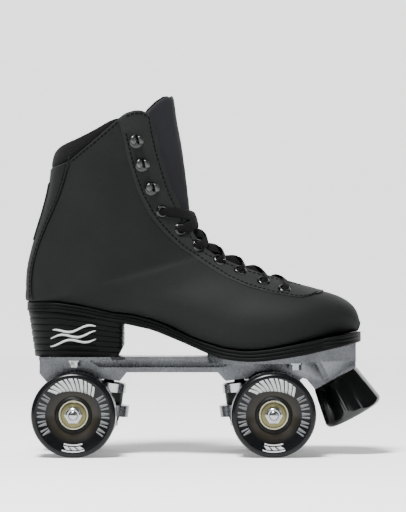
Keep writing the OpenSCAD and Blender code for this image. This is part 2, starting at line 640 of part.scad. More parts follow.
module mounting_nuts() {
    color("#d5d8da")
        for (place = BOLTS, side = [lateral, medial])
            translate([place[0], side * bolt_y, place[1]]) difference() {
                union() {
                    translate([0, 0, -1]) cylinder(d = 10, h = 1);
                    translate([0, 0, -5.2]) cylinder(d = 9.2, h = 4.2, $fn = 6);
                }
                translate([0, 0, -8]) cylinder(d = 5.02, h = 10);
            }
}

// ---- Trucks ----
KINGPIN_END = -16.2;
module kingpin(end) {
    color("#c4c7ca")
        at_ring(end) {
            translate([0, 0, KINGPIN_END]) cylinder(d = 7.94, h = 30.5 - KINGPIN_END);
            translate([0, 0, 30.5]) cylinder(d = 13, h = 4.5, $fn = 6);
        }
}
module kingpin_rear() { kingpin(rear); }
module kingpin_front() { kingpin(front); }

module kingpin_nuts() {
    color("#c4c7ca")
        for (end = [rear, front])
            at_ring(end) difference() {
                translate([0, 0, -15.6]) cylinder(d = 14, h = 4, $fn = 6);
                translate([0, 0, -20]) cylinder(d = 7.96, h = 20);
            }
}

module cushion_cups(end) {
    color("#d2d6d8")
        at_ring(end) difference() {
            union() {
                translate([0, 0, 13.2]) cylinder(r = 13.5, h = 6.4);
                translate([0, 0, 19.6]) cylinder(r1 = 13.5, r2 = 12, h = 1);
                translate([0, 0, -11.5]) cylinder(r = 11.2, h = 2.4);
            }
            translate([0, 0, 12]) cylinder(r = cushion_r + 0.05, h = 3);
            translate([0, 0, -30]) cylinder(d = 8, h = 60);
        }
}
module cushion_cups_rear() { cushion_cups(rear); }
module cushion_cups_front() { cushion_cups(front); }

module cushion(end, low, high, low_r, high_r) {
    color("#151515")
        at_ring(end) rotate_extrude()
            polygon([[4.02, low], [low_r - 0.8, low], [low_r, low + 0.8],
                [high_r, high - 0.8], [high_r - 0.8, high],
                [4.02, high]]);
}
module upper_cushion_rear() { cushion(rear, ring_h / 2, 15, cushion_r, cushion_r); }
module upper_cushion_front() { cushion(front, ring_h / 2, 15, cushion_r, cushion_r); }
module lower_cushion_rear() { cushion(rear, -9.1, -ring_h / 2, cushion_r - 1.2, cushion_r - 0.5); }
module lower_cushion_front() { cushion(front, -9.1, -ring_h / 2, cushion_r - 1.2, cushion_r - 0.5); }

truck_half = 22.5;
module truck(end) {
    pin = [cos(hinge_angle), -sin(hinge_angle)];
    color("#c9ccd0")
        difference() {
            union() {
                at_ring(end) translate([0, 0, -ring_h / 2]) cylinder(r = ring_r, h = ring_h);
                at_truck(end) {
                    rotate([90, 0, 0]) cylinder(r = 8.5, h = 26, center = true);
                    for (side = [lateral, medial])
                        translate([0, side * 13, 0]) rotate([-90 * side, 0, 0])
                            cylinder(r1 = 8.5, r2 = 6, h = truck_half - 13);
                    hull() {
                        rotate([90, 0, 0]) cylinder(r = 7, h = 22, center = true, $fn = 24);
                        translate([10, 0, 1.5]) rotate([90, 0, 0])
                            cylinder(r = 4, h = 30, center = true, $fn = 16);
                    }
                    hull() {
                        translate([-1, 0, 3]) rotate([90, 0, 0])
                            cylinder(r = 6, h = 14, center = true, $fn = 24);
                        translate([pivot_dx + 9 * pin[0], 0, pivot_dz + 9 * pin[1]]) sphere(r = 4.4, $fn = 20);
                    }
                }
                at_pivot(end) cylinder(d = 6.8, h = 9.5);
                at_pivot(end) sphere(d = 6.8);
            }
            at_ring(end) translate([0, 0, -20]) cylinder(r = 6, h = 40);
            at_ring(end) translate([0, 0, -20]) cylinder(r = cushion_r + 0.3, h = 20 - ring_h / 2);
            at_truck(end) rotate([90, 0, 0]) cylinder(d = axle_d, h = 60, center = true);
        }
}
module truck_rear() { truck(rear); }
module truck_front() { truck(front); }

axle_end = wheel_y + wheel_w / 2 + 1;
module axle(end) {
    color("#d5d8da")
        at_truck(end) rotate([90, 0, 0]) {
            cylinder(d = axle_d - 0.04, h = 2 * axle_end - 2, center = true);
            for (side = [lateral, medial])
                scale([1, 1, side]) translate([0, 0, axle_end - 1])
                    cylinder(d1 = axle_d - 0.04, d2 = axle_d - 2, h = 1);
        }
}
module axle_rear() { axle(rear); }
module axle_front() { axle(front); }

// Places along an axle, outwards from the middle plane
inner_bearing_y = wheel_y - 11.5;
outer_bearing_y = wheel_y + 3.5;
bearing_w = 7;

module axle_nuts(end) {
    color("#dfe2e4")
        at_truck(end)
            for (side = [lateral, medial])
                scale([1, side, 1]) rotate([-90, 0, 0]) difference() {
                    union() {
                        translate([0, 0, truck_half]) cylinder(d = 11, h = inner_bearing_y - truck_half);
                        translate([0, 0, outer_bearing_y + bearing_w]) cylinder(d = 11, h = 0.8);
                        translate([0, 0, outer_bearing_y + bearing_w + 0.8]) cylinder(d = 13, h = 4, $fn = 6);
                        translate([0, 0, outer_bearing_y + bearing_w + 4.8]) cylinder(d1 = 11, d2 = 9, h = 0.9);
                    }
                    cylinder(d = axle_d, h = 80);
                }
}
module axle_nuts_rear() { axle_nuts(rear); }
module axle_nuts_front() { axle_nuts(front); }

module inner_races(end) {
    color("#b9bcc0")
        at_truck(end)
            for (side = [lateral, medial])
                scale([1, side, 1]) rotate([-90, 0, 0]) {
                    for (start = [inner_bearing_y, outer_bearing_y])
                        translate([0, 0, start]) difference() {
                            cylinder(d = 12.1, h = bearing_w);
                            translate([0, 0, -1]) cylinder(d = axle_d, h = 10);
                        }
                    translate([0, 0, inner_bearing_y + bearing_w]) difference() {
                        cylinder(d = 10, h = outer_bearing_y - inner_bearing_y - bearing_w);
                        translate([0, 0, -1]) cylinder(d = axle_d, h = 20);
                    }
                }
}
module inner_races_rear() { inner_races(rear); }
module inner_races_front() { inner_races(front); }

// ---- Wheels ----
module at_wheel(end, side) {
    translate([end == rear ? rear_axle_x : front_axle_x, side * wheel_y, axle_z])
        rotate([-90 * side, 0, 0])
            children();
}

module outer_races(end, side) {
    color("#c8b878")
        at_wheel(end, side) rotate_extrude()
            for (start = [inner_bearing_y - wheel_y, outer_bearing_y - wheel_y])
                translate([0, start]) polygon([[6.13, 0.4], [9.4, 0.4], [9.4, 0], [11, 0], [11, bearing_w],
                    [9.4, bearing_w], [9.4, bearing_w - 0.4], [6.13, bearing_w - 0.4], [6.13, bearing_w - 0.9],
                    [8.6, bearing_w - 0.9], [8.6, 0.9], [6.13, 0.9]]);
}

module hub(end, side) {
    color("#121314")
        at_wheel(end, side) rotate_extrude()
            polygon([[11.01, -11.8], [13.5, -11.8], [13.5, -3], [16.5, -2.2], [16.5, 2.2],
                [13.5, 3], [13.5, 11.8],
                [11.01, 11.8], [11.01, 3.5], [8.2, 3.5], [8.2, -4.5], [11.01, -4.5]]);
}

module tyre(end, side) {
    w = wheel_w / 2;
    lip = 3.5;
    lip_r = wheel_d / 2 - lip;
    face = concat([[16.52, 2.2], [13.52, 3], [13.52, 11.4], [19, w - 2.2], [lip_r - 0.5, w - 0.2]],
        [for (a = [90:-15:0]) [lip_r + lip * cos(a), w - lip + lip * sin(a)]]);
    color("#17181b")
        at_wheel(end, side) rotate_extrude($fn = 96) polygon(concat(face, [for (i = [len(face) - 1:-1:0])
            [face[i][0], -face[i][1]]]));
}

module tyre_rear_lateral() { tyre(rear, lateral); }
module tyre_rear_medial() { tyre(rear, medial); }
module tyre_front_lateral() { tyre(front, lateral); }
module tyre_front_medial() { tyre(front, medial); }
module hub_rear_lateral() { hub(rear, lateral); }
module hub_rear_medial() { hub(rear, medial); }
module hub_front_lateral() { hub(front, lateral); }
module hub_front_medial() { hub(front, medial); }
module outer_races_rear_lateral() { outer_races(rear, lateral); }
module outer_races_rear_medial() { outer_races(rear, medial); }
module outer_races_front_lateral() { outer_races(front, lateral); }
module outer_races_front_medial() { outer_races(front, medial); }

// ---- Toe stop ----
module at_stop() {
    translate([stop_top[0], 0, stop_top[1]]) rotate([0, 180 - stop_tilt, 0]) children();
}

module toe_stop() {
    edge = 4.5;
    top_r = stop_top_d / 2;
    foot_r = stop_foot_d / 2;
    flat_turn = 52;
    flat_lean = atan2(foot_r - top_r, stop_h);
    color("#101112")
        at_stop() difference() {
            rotate_extrude($fn = 72) polygon(concat([[0, 0], [top_r - 1, 0], [top_r, 1]],
                [for (a = [0:15:90]) [foot_r - edge + edge * cos(a), stop_h - edge + edge * sin(a)]],
                    [[0, stop_h]]));
            translate([0, 0, -1]) cylinder(d = 15.9, h = 16);
            // Flat facets down the front corners, leaning with the cone
            for (side = [lateral, medial])
                rotate([0, 0, 180 + side * flat_turn]) rotate([0, flat_lean, 0])
                    translate([top_r * 0.935, -30, -5]) cube([30, 60, 60]);
        }
}

module toe_stop_stem() {
    color("#c4c7ca")
        at_stop() translate([0, 0, -16.5]) cylinder(d = 15.86, h = 31.4);
}

upper();
facing();
backstay();
pull_tab();
collar_padding();
lining();
heel_counter();
toe_puff();
tongue();
tongue_lining();
insole();
insole_board();
outsole();
heel_block();
eyelets_lateral();
eyelets_medial();
hooks_lateral();
hooks_medial();
lace();
plate();
mounting_bolts();
mounting_nuts();
pivot_cups();
kingpin_rear();
kingpin_front();
kingpin_nuts();
cushion_cups_rear();
cushion_cups_front();
upper_cushion_rear();
upper_cushion_front();
lower_cushion_rear();
lower_cushion_front();
toe_stop();
toe_stop_stem();
truck_rear();
truck_front();
axle_rear();
axle_front();
axle_nuts_rear();
axle_nuts_front();
inner_races_rear();
inner_races_front();
tyre_rear_lateral();
tyre_rear_medial();
tyre_front_lateral();
tyre_front_medial();
hub_rear_lateral();
hub_rear_medial();
hub_front_lateral();
hub_front_medial();
outer_races_rear_lateral();
outer_races_rear_medial();
outer_races_front_lateral();
outer_races_front_medial();
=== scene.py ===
import json
import bpy
import bmesh
import numpy as np
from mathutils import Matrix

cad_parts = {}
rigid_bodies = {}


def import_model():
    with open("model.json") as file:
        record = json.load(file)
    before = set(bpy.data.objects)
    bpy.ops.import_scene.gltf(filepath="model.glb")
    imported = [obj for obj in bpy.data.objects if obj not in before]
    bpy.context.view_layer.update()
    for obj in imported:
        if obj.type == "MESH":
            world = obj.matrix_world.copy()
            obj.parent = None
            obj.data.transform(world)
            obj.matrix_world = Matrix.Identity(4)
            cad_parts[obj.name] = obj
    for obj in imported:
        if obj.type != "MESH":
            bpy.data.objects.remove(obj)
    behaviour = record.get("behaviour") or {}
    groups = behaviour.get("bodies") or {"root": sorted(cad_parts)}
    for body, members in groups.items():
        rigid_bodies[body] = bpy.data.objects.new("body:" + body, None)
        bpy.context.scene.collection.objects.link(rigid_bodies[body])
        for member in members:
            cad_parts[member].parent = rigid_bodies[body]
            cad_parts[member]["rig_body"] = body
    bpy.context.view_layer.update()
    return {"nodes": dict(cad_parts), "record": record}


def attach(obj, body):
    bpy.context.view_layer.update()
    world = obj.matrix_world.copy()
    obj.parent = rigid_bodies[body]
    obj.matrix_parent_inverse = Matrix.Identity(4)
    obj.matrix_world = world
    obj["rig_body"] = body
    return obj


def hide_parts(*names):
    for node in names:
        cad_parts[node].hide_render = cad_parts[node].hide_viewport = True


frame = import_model()

mm = 0.001
perRadian = 57.3  # degrees in a radian
rootBody = "boot_and_plate"
lateral, medial = -1, 1  # the outer and the inner side of the foot
print("frame loaded:", len(frame["nodes"]), "nodes")

view = {"distance": 2.0, "height": 0.1471, "sideways": -0.0003, "lens": 188.4, "sensor": 36.0}
studio = {
    "floorHalf": 6.0, "wallY": 2.2, "wallHeight": 6.0, "bend": 1.0, "floorColour": "#efefef",
    "worldColour": "#ffffff", "worldStrength": 0.1, "floorGlow": 0.2, "wallGlow": 1.25,
}
# name, place, size of the soft box, power in watts; each one looks at the boot
softBoxes = [
    ("keyLight", (-0.9, -1.5, 1.2), 0.9, 3.0),
    ("fillLight", (1.3, -1.1, 0.6), 0.7, 3.0),
    ("topLight", (-0.35, -0.62, 1.7), 0.5, 98.0),
    ("backLight", (0.9, 1.3, 1.0), 0.8, 3.0),
]


def linearColour(hexText):
    # sRGB hex to linear RGBA: below 0.04045 it is c / 12.92, above it ((c + 0.055) / 1.055) ^ 2.4
    c = np.array([int(hexText[i:i + 2], 16) / 255 for i in (1, 3, 5)])
    linear = np.where(c <= 0.04045, c / 12.92, ((c + 0.055) / 1.055) ** 2.4)
    return (*linear.tolist(), 1.0)


def addNode(material, kind, inputs=None, **settings):
    # One node with its settings; an input takes a number, a colour or another node's socket
    node = material.node_tree.nodes.new(kind)
    for name, value in settings.items():
        setattr(node, name, value)
    for name, value in (inputs or {}).items():
        if isinstance(value, bpy.types.NodeSocket):
            material.node_tree.links.new(value, node.inputs[name])
        else:
            node.inputs[name].default_value = value
    return node


def feed(material, node, socket, shader, name):
    material.node_tree.links.new(node.outputs[socket], shader.inputs[name])


def meshObject(name, points, faces, smooth=True, uv=None):
    # A mesh from an array of points and a list of faces, smooth shaded, with a UV map in metres if one is
    # given
    mesh = bpy.data.meshes.new(name)
    mesh.from_pydata(np.asarray(points).reshape(-1, 3).tolist(), [], faces)
    if uv is not None:
        layer = mesh.uv_layers.new(name="flat")
        loops = np.zeros(len(mesh.loops), dtype=np.int32)
        mesh.loops.foreach_get("vertex_index", loops)
        layer.data.foreach_set("uv", np.asarray(uv).reshape(-1, 2)[loops].ravel().astype(np.float32))
    mesh.shade_smooth() if smooth else mesh.shade_flat()
    mesh.update()
    obj = bpy.data.objects.new(name, mesh)
    bpy.context.scene.collection.objects.link(obj)
    return obj


def buildStudio():
    cam = bpy.data.cameras.new("camera")
    cam.sensor_fit = "VERTICAL"
    cam.sensor_height = view["sensor"]
    cam.lens = view["lens"]
    cam.clip_end = 50
    holder = bpy.data.objects.new("camera", cam)
    holder.location = (view["sideways"], -view["distance"], view["height"])
    holder.rotation_euler = (np.pi / 2, 0, 0)
    bpy.context.scene.collection.objects.link(holder)
    bpy.context.scene.camera = holder

    world = bpy.data.worlds.new("studioWorld")
    world.use_nodes = True
    sky = world.node_tree.nodes["Background"]
    sky.inputs["Color"].default_value = linearColour(studio["worldColour"])
    sky.inputs["Strength"].default_value = studio["worldStrength"]
    bpy.context.scene.world = world

    # The sweep: a flat floor, a quarter round and a wall, carried along x
    turn = np.linspace(0, np.pi / 2, 17)
    bend, far = studio["bend"], studio["wallY"]
    y = np.concatenate([[-studio["floorHalf"]], far + bend * np.sin(turn), [far + bend]])
    z = np.concatenate([[0], bend * (1 - np.cos(turn)), [studio["wallHeight"]]])
    x = np.array([-studio["floorHalf"], studio["floorHalf"]])
    grid = np.stack(np.broadcast_arrays(x[:, None], y[None], z[None]), -1)
    n = len(y)
    sweep = meshObject("sweep", grid, [[j, n + j, n + j + 1, j + 1] for j in range(n - 1)])
    paper = bpy.data.materials.new("backgroundPaper")
    paper.use_nodes = True
    shader = paper.node_tree.nodes["Principled BSDF"]
    shader.inputs["Base Color"].default_value = linearColour(studio["floorColour"])
    shader.inputs["Roughness"].default_value = 1.0
    shader.inputs["Specular IOR Level"].default_value = 0.0
    # A lit paper: part of its brightness is its own, least under the skate, where shadows fall, and more
    # farther out
    shader.inputs["Emission Color"].default_value = (1, 1, 1, 1)
    spot = addNode(paper, "ShaderNodeNewGeometry").outputs["Position"]
    reach = addNode(paper, "ShaderNodeVectorMath", {0: spot}, operation="LENGTH").outputs["Value"]
    glow = addNode(paper, "ShaderNodeMapRange", {
        "Value": reach, "From Min": 0.1, "From Max": far,
        "To Min": studio["floorGlow"], "To Max": studio["wallGlow"]})
    feed(paper, glow, "Result", shader, "Emission Strength")
    sweep.data.materials.append(paper)

    aim = np.array([0, 0, 0.13])
    for name, place, size, power in softBoxes:
        lamp = bpy.data.lights.new(name, "AREA")
        lamp.shape = "SQUARE"
        lamp.size = size
        lamp.energy = power
        lampObject = bpy.data.objects.new(name, lamp)
        lampObject.location = place
        away = np.array(place) - aim
        tilt = np.arccos(away[2] / np.linalg.norm(away))
        lampObject.rotation_euler = (tilt, 0, np.arctan2(away[0], -away[1]))
        bpy.context.scene.collection.objects.link(lampObject)


buildStudio()
print("studio built")

# One ring round the foot per row, from the cuff to the toe, in millimetres: the ring's back or bottom x and
# z, its front or top x and z, its lateral and medial half widths, its sideways shift, where along it it is
# widest (0 to 1), and how square its back half and its front half are (2 is an ellipse). The CAD boot has the
# same rows.
bootRings = np.array([
    [-111.8, 242, -21, 262, 38.5, 38.5, 0, 0.47, 2.2, 2.1],
    [-112.6, 220, -19, 248, 38, 38, 0, 0.46, 2.2, 2.1],
    [-114.6, 200, -15.5, 230, 37, 36.5, 0, 0.45, 2.2, 2.05],
    [-118.6, 183, -12.5, 210, 35.5, 35, 0, 0.44, 2.2, 2],
    [-123, 168.5, -10, 193, 34.5, 34, 0, 0.42, 2.2, 1.95],
    [-127.5, 153, -6.5, 179, 34, 33.5, 0, 0.4, 2.3, 1.9],
    [-130.7, 138, -1.8, 167, 33.5, 33, 0, 0.38, 2.4, 1.85],
    [-131.5, 124, 5, 158, 33.5, 33, 0, 0.36, 2.4, 1.8],
    [-130, 113.2, 11, 152.9, 33.5, 32.8, 0, 0.34, 2.6, 1.75],
    [-112, 112.6, 16.5, 149.4, 33.5, 32.5, 0, 0.32, 5, 1.72],
    [-92, 110.2, 22.5, 146.2, 33, 32, 0, 0.3, 7, 1.7],
    [-71, 106, 29, 143.2, 33, 31.5, 0, 0.28, 8, 1.7],
    [-50, 103.4, 35.5, 140, 34, 32, 0, 0.27, 8, 1.7],
    [-28, 97, 43, 136.4, 36, 34, -0.5, 0.28, 8, 1.75],
    [-6, 86.2, 52, 132.9, 39, 37.5, -1, 0.3, 8, 1.8],
    [16, 79.1, 62, 129.4, 42, 41, -1.5, 0.32, 8, 1.9],
    [37, 77.4, 73, 125.5, 43.5, 42.5, -1.5, 0.33, 8, 2],
    [57, 80.2, 84, 122.2, 42.5, 41, -0.5, 0.35, 8, 2.1],
    [75, 83.7, 94.5, 119.6, 38, 37, 1, 0.38, 7, 2.2],
    [90, 86.8, 103.3, 116.2, 31.5, 31, 2.5, 0.4, 6, 2.3],
    [101, 88.8, 110.1, 111.7, 24, 24, 3.5, 0.42, 5, 2.3],
    [109.4, 90.2, 114.5, 106, 15.5, 15.5, 4, 0.45, 4, 2.3],
    [114.8, 91, 117, 98.4, 6, 6, 4, 0.5, 3, 2.2]])
lastRing = len(bootRings) - 1
boot = {
    "leather": 2.0, "stiffener": 1.2, "lining": 1.5, "overlay": 0.9, "tongue": 4.0,
    "cuffRing": 2.6, "throatEnd": 16.6, "collarAngle": 72,
}
# Side-view curves, x then z in millimetres
leatherTop = [[-120, 211.5], [-112, 212.5], [-99.6, 216.6], [-81, 231.6], [-62.9, 247.4], [-57.4, 251.8],
              [-50.7, 254], [-45.2, 254], [-42, 252.5], [-39.5, 250.2], [-37.6, 247.6], [-36, 244.4],
              [-30, 236]]
collarTop = [[-120, 222], [-112.6, 225], [-108.9, 228.6], [-94, 234.6], [-84.3, 238.9], [-75.3, 243.3],
             [-68.6, 247], [-60, 249.2], [-30, 246]]
facingEdge = [[-63.5, 256], [-61.8, 247.5], [-59.2, 234], [-54.6, 213], [-49.2, 195.3], [-43.2, 182.7],
              [-37.8, 173.8], [-29.3, 164], [-20.8, 155.5], [-11.7, 149], [0.8, 140.4], [15.2, 131.6],
              [31.5, 124.7], [49.1, 119.8], [69.6, 116.5], [76, 117], [81.6, 118.7], [88, 122]]
# Half the gap between the two facings in millimetres, and the angle of the back strip's edge, by ring
throatGap = [[0, 30], [1, 29.5], [2, 27], [3, 23], [4, 18.5], [5, 14.5], [6, 12], [8, 10.5], [12, 9.5],
             [15, 8], [16.2, 4.5], [16.6, 0]]
backstayAngle = [[0, 126], [1, 128], [2, 134], [3, 140], [4, 146], [5, 150], [6, 152], [7, 153], [8, 150]]
eyeletPlaces = [[-30.6, 180], [-17.2, 166.9], [-4.1, 154.7], [11.9, 143.8], [27.1, 136.1], [44.2, 128],
                [59.6, 122.3]]
hookPlaces = [[-49.9, 231.9], [-45.7, 214.7], [-38.8, 197.4]]


def lookup(value, table):
    # Straight line between the table's rows, held flat past its ends
    table = np.asarray(table, float)
    return np.interp(value, table[:, 0], table[:, 1])


def smoothCurve(table, count=400):
    # The same table with its corners rounded: a running mean over its densely sampled line
    table = np.asarray(table, float)
    x = np.linspace(table[0, 0], table[-1, 0], count)
    y = np.interp(x, table[:, 0], table[:, 1])
    half = 9
    padded = np.concatenate([2 * y[0] - y[half:0:-1], y, 2 * y[-1] - y[-2:-half - 2:-1]])
    return np.stack([x, np.convolve(padded, np.ones(2 * half + 1) / (2 * half + 1), "valid")], -1)


def signedAngle(angle):
    # Angles past 180 as negative ones, which are lateral
    return np.where(angle > 180, angle - 360, angle)


def quarterRound(part):
    # Height of a quarter circle at a part of its radius from the edge: sqrt(1 - (1 - part)^2)
    return np.sqrt(1 - (1 - np.clip(part, 0, 1)) ** 2)


def step01(t):
    # Smooth step: 3u^2 - 2u^3 of t clipped to 0..1
    u = np.clip(t, 0, 1)
    return u * u * (3 - 2 * u)


def ringAt(s):
    # Catmull-Rom blend of the four nearest rows; before the first row it goes on in a straight line
    s = np.asarray(s, float)
    i = np.clip(np.floor(s), 0, lastRing - 1).astype(int)
    t = (s - i)[..., None]
    a, b = bootRings[np.maximum(i - 1, 0)], bootRings[i]
    c, d = bootRings[i + 1], bootRings[np.minimum(i + 2, lastRing)]
    curve = (2 * b + (c - a) * t + (2 * a - 5 * b + 4 * c - d) * t ** 2
             + (3 * b - a - 3 * c + d) * t ** 3) / 2
    return np.where(s[..., None] < 0, bootRings[0] + s[..., None] * (bootRings[1] - bootRings[0]), curve)


def bootPoint(s, angle, depth=0.0):
    # Point in millimetres on ring s at an angle round it, moved in by a depth. Angle 0 is the front or top
    # line, 180 the back or bottom line, negative is lateral. Each half of the ring is a superellipse in its
    # own plane.
    s, angle, depth = np.broadcast_arrays(np.asarray(s, float), np.asarray(angle, float),
                                          np.asarray(depth, float))
    turn = signedAngle(angle)
    r = ringAt(s)
    back = r[..., 0:2]
    along = r[..., 2:4] - back
    reach = np.linalg.norm(along, axis=-1)
    half = np.where(turn < 0, r[..., 4], r[..., 5]) - depth
    behind = np.abs(turn) > 90
    power = 2 / np.where(behind, r[..., 8], r[..., 9])
    rad = np.radians(turn)
    rise = np.abs(np.cos(rad)) ** power
    part = np.where(behind, r[..., 7] * (1 - rise), r[..., 7] + (1 - r[..., 7]) * rise)
    place = back + along / reach[..., None] * (depth + part * (reach - 2 * depth))[..., None]
    toe = step01((s - lastRing + 3) / 3)
    y = r[..., 6] + np.sign(turn) * half * np.abs(np.sin(rad)) ** power
    return np.stack([place[..., 0] - depth * toe, y, place[..., 1]], -1)


def angleOfWidth(s, w):
    # Angle on ring s whose half width is w, towards the front
    r = ringAt(s)
    return np.degrees(np.arcsin(np.clip(w / r[..., 4], 0, 1) ** (r[..., 9] / 2)))


def angleOfPart(s, part):
    # Angle on ring s at a part of its length from back (0) to front (1)
    r = ringAt(s)
    wide = r[..., 7]
    ahead = np.degrees(np.arccos(np.clip((part - wide) / (1 - wide), 0, 1) ** (r[..., 9] / 2)))
    behind = 180 - np.degrees(np.arccos(np.clip(1 - part / wide, 0, 1) ** (r[..., 8] / 2)))
    return np.where(part > wide, ahead, behind)


def halve(test, low, high, turns=24):
    # Bisection on whole arrays: test(mid) is true where the answer lies above mid
    low, high = np.array(low, float), np.array(high, float)
    for _ in range(turns):
        mid = (low + high) / 2
        above = test(mid)
        low = np.where(above, mid, low)
        high = np.where(above, high, mid)
    return (low + high) / 2


def ringOf(x, z):
    # Ring whose plane passes through a side-view point
    def above(mid):
        r = ringAt(mid)
        return (r[..., 2] - r[..., 0]) * (z - r[..., 1]) - (r[..., 3] - r[..., 1]) * (x - r[..., 0]) < 0
    x, z = np.asarray(x, float), np.asarray(z, float)
    return halve(above, np.full(x.shape, -1.0), np.full(x.shape, float(lastRing)))


def angleOf(s, x, z):
    # Angle at which ring s passes through a side-view point
    r = ringAt(s)
    dx, dz = r[..., 2] - r[..., 0], r[..., 3] - r[..., 1]
    return angleOfPart(s, ((x - r[..., 0]) * dx + (z - r[..., 1]) * dz) / (dx ** 2 + dz ** 2))


def ringUnder(edge, angle, high=3.6):
    # Ring at which the column of an angle meets an edge line
    def above(mid):
        p = bootPoint(mid, angle)
        return p[..., 2] > lookup(p[..., 0], edge)
    angle = np.asarray(angle, float)
    return halve(above, np.zeros(angle.shape), np.full(angle.shape, high))


def facingAngle(s):
    # Angle of the facing's sewn edge on ring s
    def above(mid):
        r = ringAt(s)
        x = r[..., 0] + mid * (r[..., 2] - r[..., 0])
        z = r[..., 1] + mid * (r[..., 3] - r[..., 1])
        return z <= lookup(x, facingCurve)
    s = np.asarray(s, float)
    return angleOfPart(s, halve(above, np.full(s.shape, 0.35), np.ones(s.shape)))


def throatAngle(s):
    return np.where(s >= boot["throatEnd"], 0.0, angleOfWidth(s, lookup(s, throatGap)))


leatherEdge = smoothCurve(leatherTop)
collarEdge = smoothCurve(collarTop)
facingCurve = smoothCurve(facingEdge)


def arcLengths(points, axis):
    # Length along a grid's rows or columns from its first line, in millimetres
    steps = np.linalg.norm(np.diff(points, axis=axis), axis=-1)
    return np.insert(np.cumsum(steps, axis=axis), 0, 0, axis=axis)


def shell(name, outer, inner, gap=None, mergeFrom=None, wrap=False, capEnd=False):
    # Closed sheet between an outer and an inner grid of points in millimetres. Columns gap and gap + 1 have
    # an opening between them and become one from row mergeFrom on; wrap does the same for the last and first
    # columns. capEnd closes the last row with a pole on each side.
    rows, cols = outer.shape[:2]
    index = np.arange(rows * cols).reshape(rows, cols)
    if gap is not None:
        index[mergeFrom:, gap + 1] = index[mergeFrom:, gap]
    if wrap:
        index[mergeFrom:, cols - 1] = index[mergeFrom:, 0]
    under = index + rows * cols
    open_ = np.ones(cols - 1, bool)
    if gap is not None:
        open_[gap] = False

    def quads(a, b, c, d):
        return np.stack([a, b, c, d], -1).reshape(-1, 4)
    keep = np.flatnonzero(open_)
    parts = [
        quads(index[:-1, keep], index[:-1, keep + 1], index[1:, keep + 1], index[1:, keep]),
        quads(under[1:, keep], under[1:, keep + 1], under[:-1, keep + 1], under[:-1, keep]),
        quads(under[0, keep], under[0, keep + 1], index[0, keep + 1], index[0, keep]),
    ]
    points = [outer.reshape(-1, 3), inner.reshape(-1, 3)]
    polesAt = 2 * rows * cols
    faces = []
    if capEnd:
        points += [outer[-1].mean(0)[None], inner[-1].mean(0)[None]]
        ring, back = index[-1], under[-1]
        pairs = [(ring[j], ring[j + 1], back[j], back[j + 1]) for j in range(cols - 1)]
        faces += [[a, b, polesAt] for a, b, _, _ in pairs] + [[d, c, polesAt + 1] for _, _, c, d in pairs]
    else:
        parts.append(quads(index[-1, keep], index[-1, keep + 1], under[-1, keep + 1], under[-1, keep]))
    sideRows = mergeFrom if wrap else rows - 1
    for c, flip, count in [(0, False, sideRows), (cols - 1, True, sideRows)] + (
            [(gap, True, mergeFrom), (gap + 1, False, mergeFrom)] if gap is not None else []):
        k = np.arange(count)
        wall = quads(index[k, c], index[k + 1, c], under[k + 1, c], under[k, c])
        parts.append(wall[:, ::-1] if flip else wall)
    for quad in np.concatenate(parts).tolist():
        face = list(dict.fromkeys(quad))
        if len(face) > 2:
            faces.append(face)
    u, v = arcLengths(outer, 1), arcLengths(outer, 0)
    uv = np.stack([u - u[:, -1:] / 2, v], -1).reshape(-1, 2)
    uv = np.concatenate([uv, uv] + ([uv[-1:], uv[-1:]] if capEnd else [])) * mm
    obj = meshObject(name, np.concatenate(points) * mm, faces, uv=uv)
    tidyMesh(obj)
    return obj


def tidyMesh(obj, distance=1e-6):
    # Drops points no face uses, joins doubles and turns the faces outwards
    bm = bmesh.new()
    bm.from_mesh(obj.data)
    bmesh.ops.delete(bm, geom=[v for v in bm.verts if not v.link_faces], context="VERTS")
    bmesh.ops.remove_doubles(bm, verts=bm.verts, dist=distance)
    bmesh.ops.recalc_face_normals(bm, faces=bm.faces)
    bm.to_mesh(obj.data)
    bm.free()
    return obj


def finish(obj, body, material, replaces=(), subdivide=0, sharp=None):
    # Rides the piece on its body, gives it its material, and hides the CAD nodes that it stands for
    obj.data.materials.clear()
    obj.data.materials.append(material)
    if sharp is not None:
        obj.data.set_sharp_from_angle(angle=np.radians(sharp))
    if subdivide:
        sub = obj.modifiers.new("smooth", "SUBSURF")
        sub.levels = sub.render_levels = subdivide
    if replaces:
        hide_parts(*replaces)
    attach(obj, body)
    return obj


def newMaterial(name, hexText, roughness, metallic=0.0):
    material = bpy.data.materials.new(name)
    material.use_nodes = True
    shader = material.node_tree.nodes["Principled BSDF"]
    shader.inputs["Base Color"].default_value = linearColour(hexText)
    shader.inputs["Roughness"].default_value = roughness
    shader.inputs["Metallic"].default_value = metallic
    return material, shader


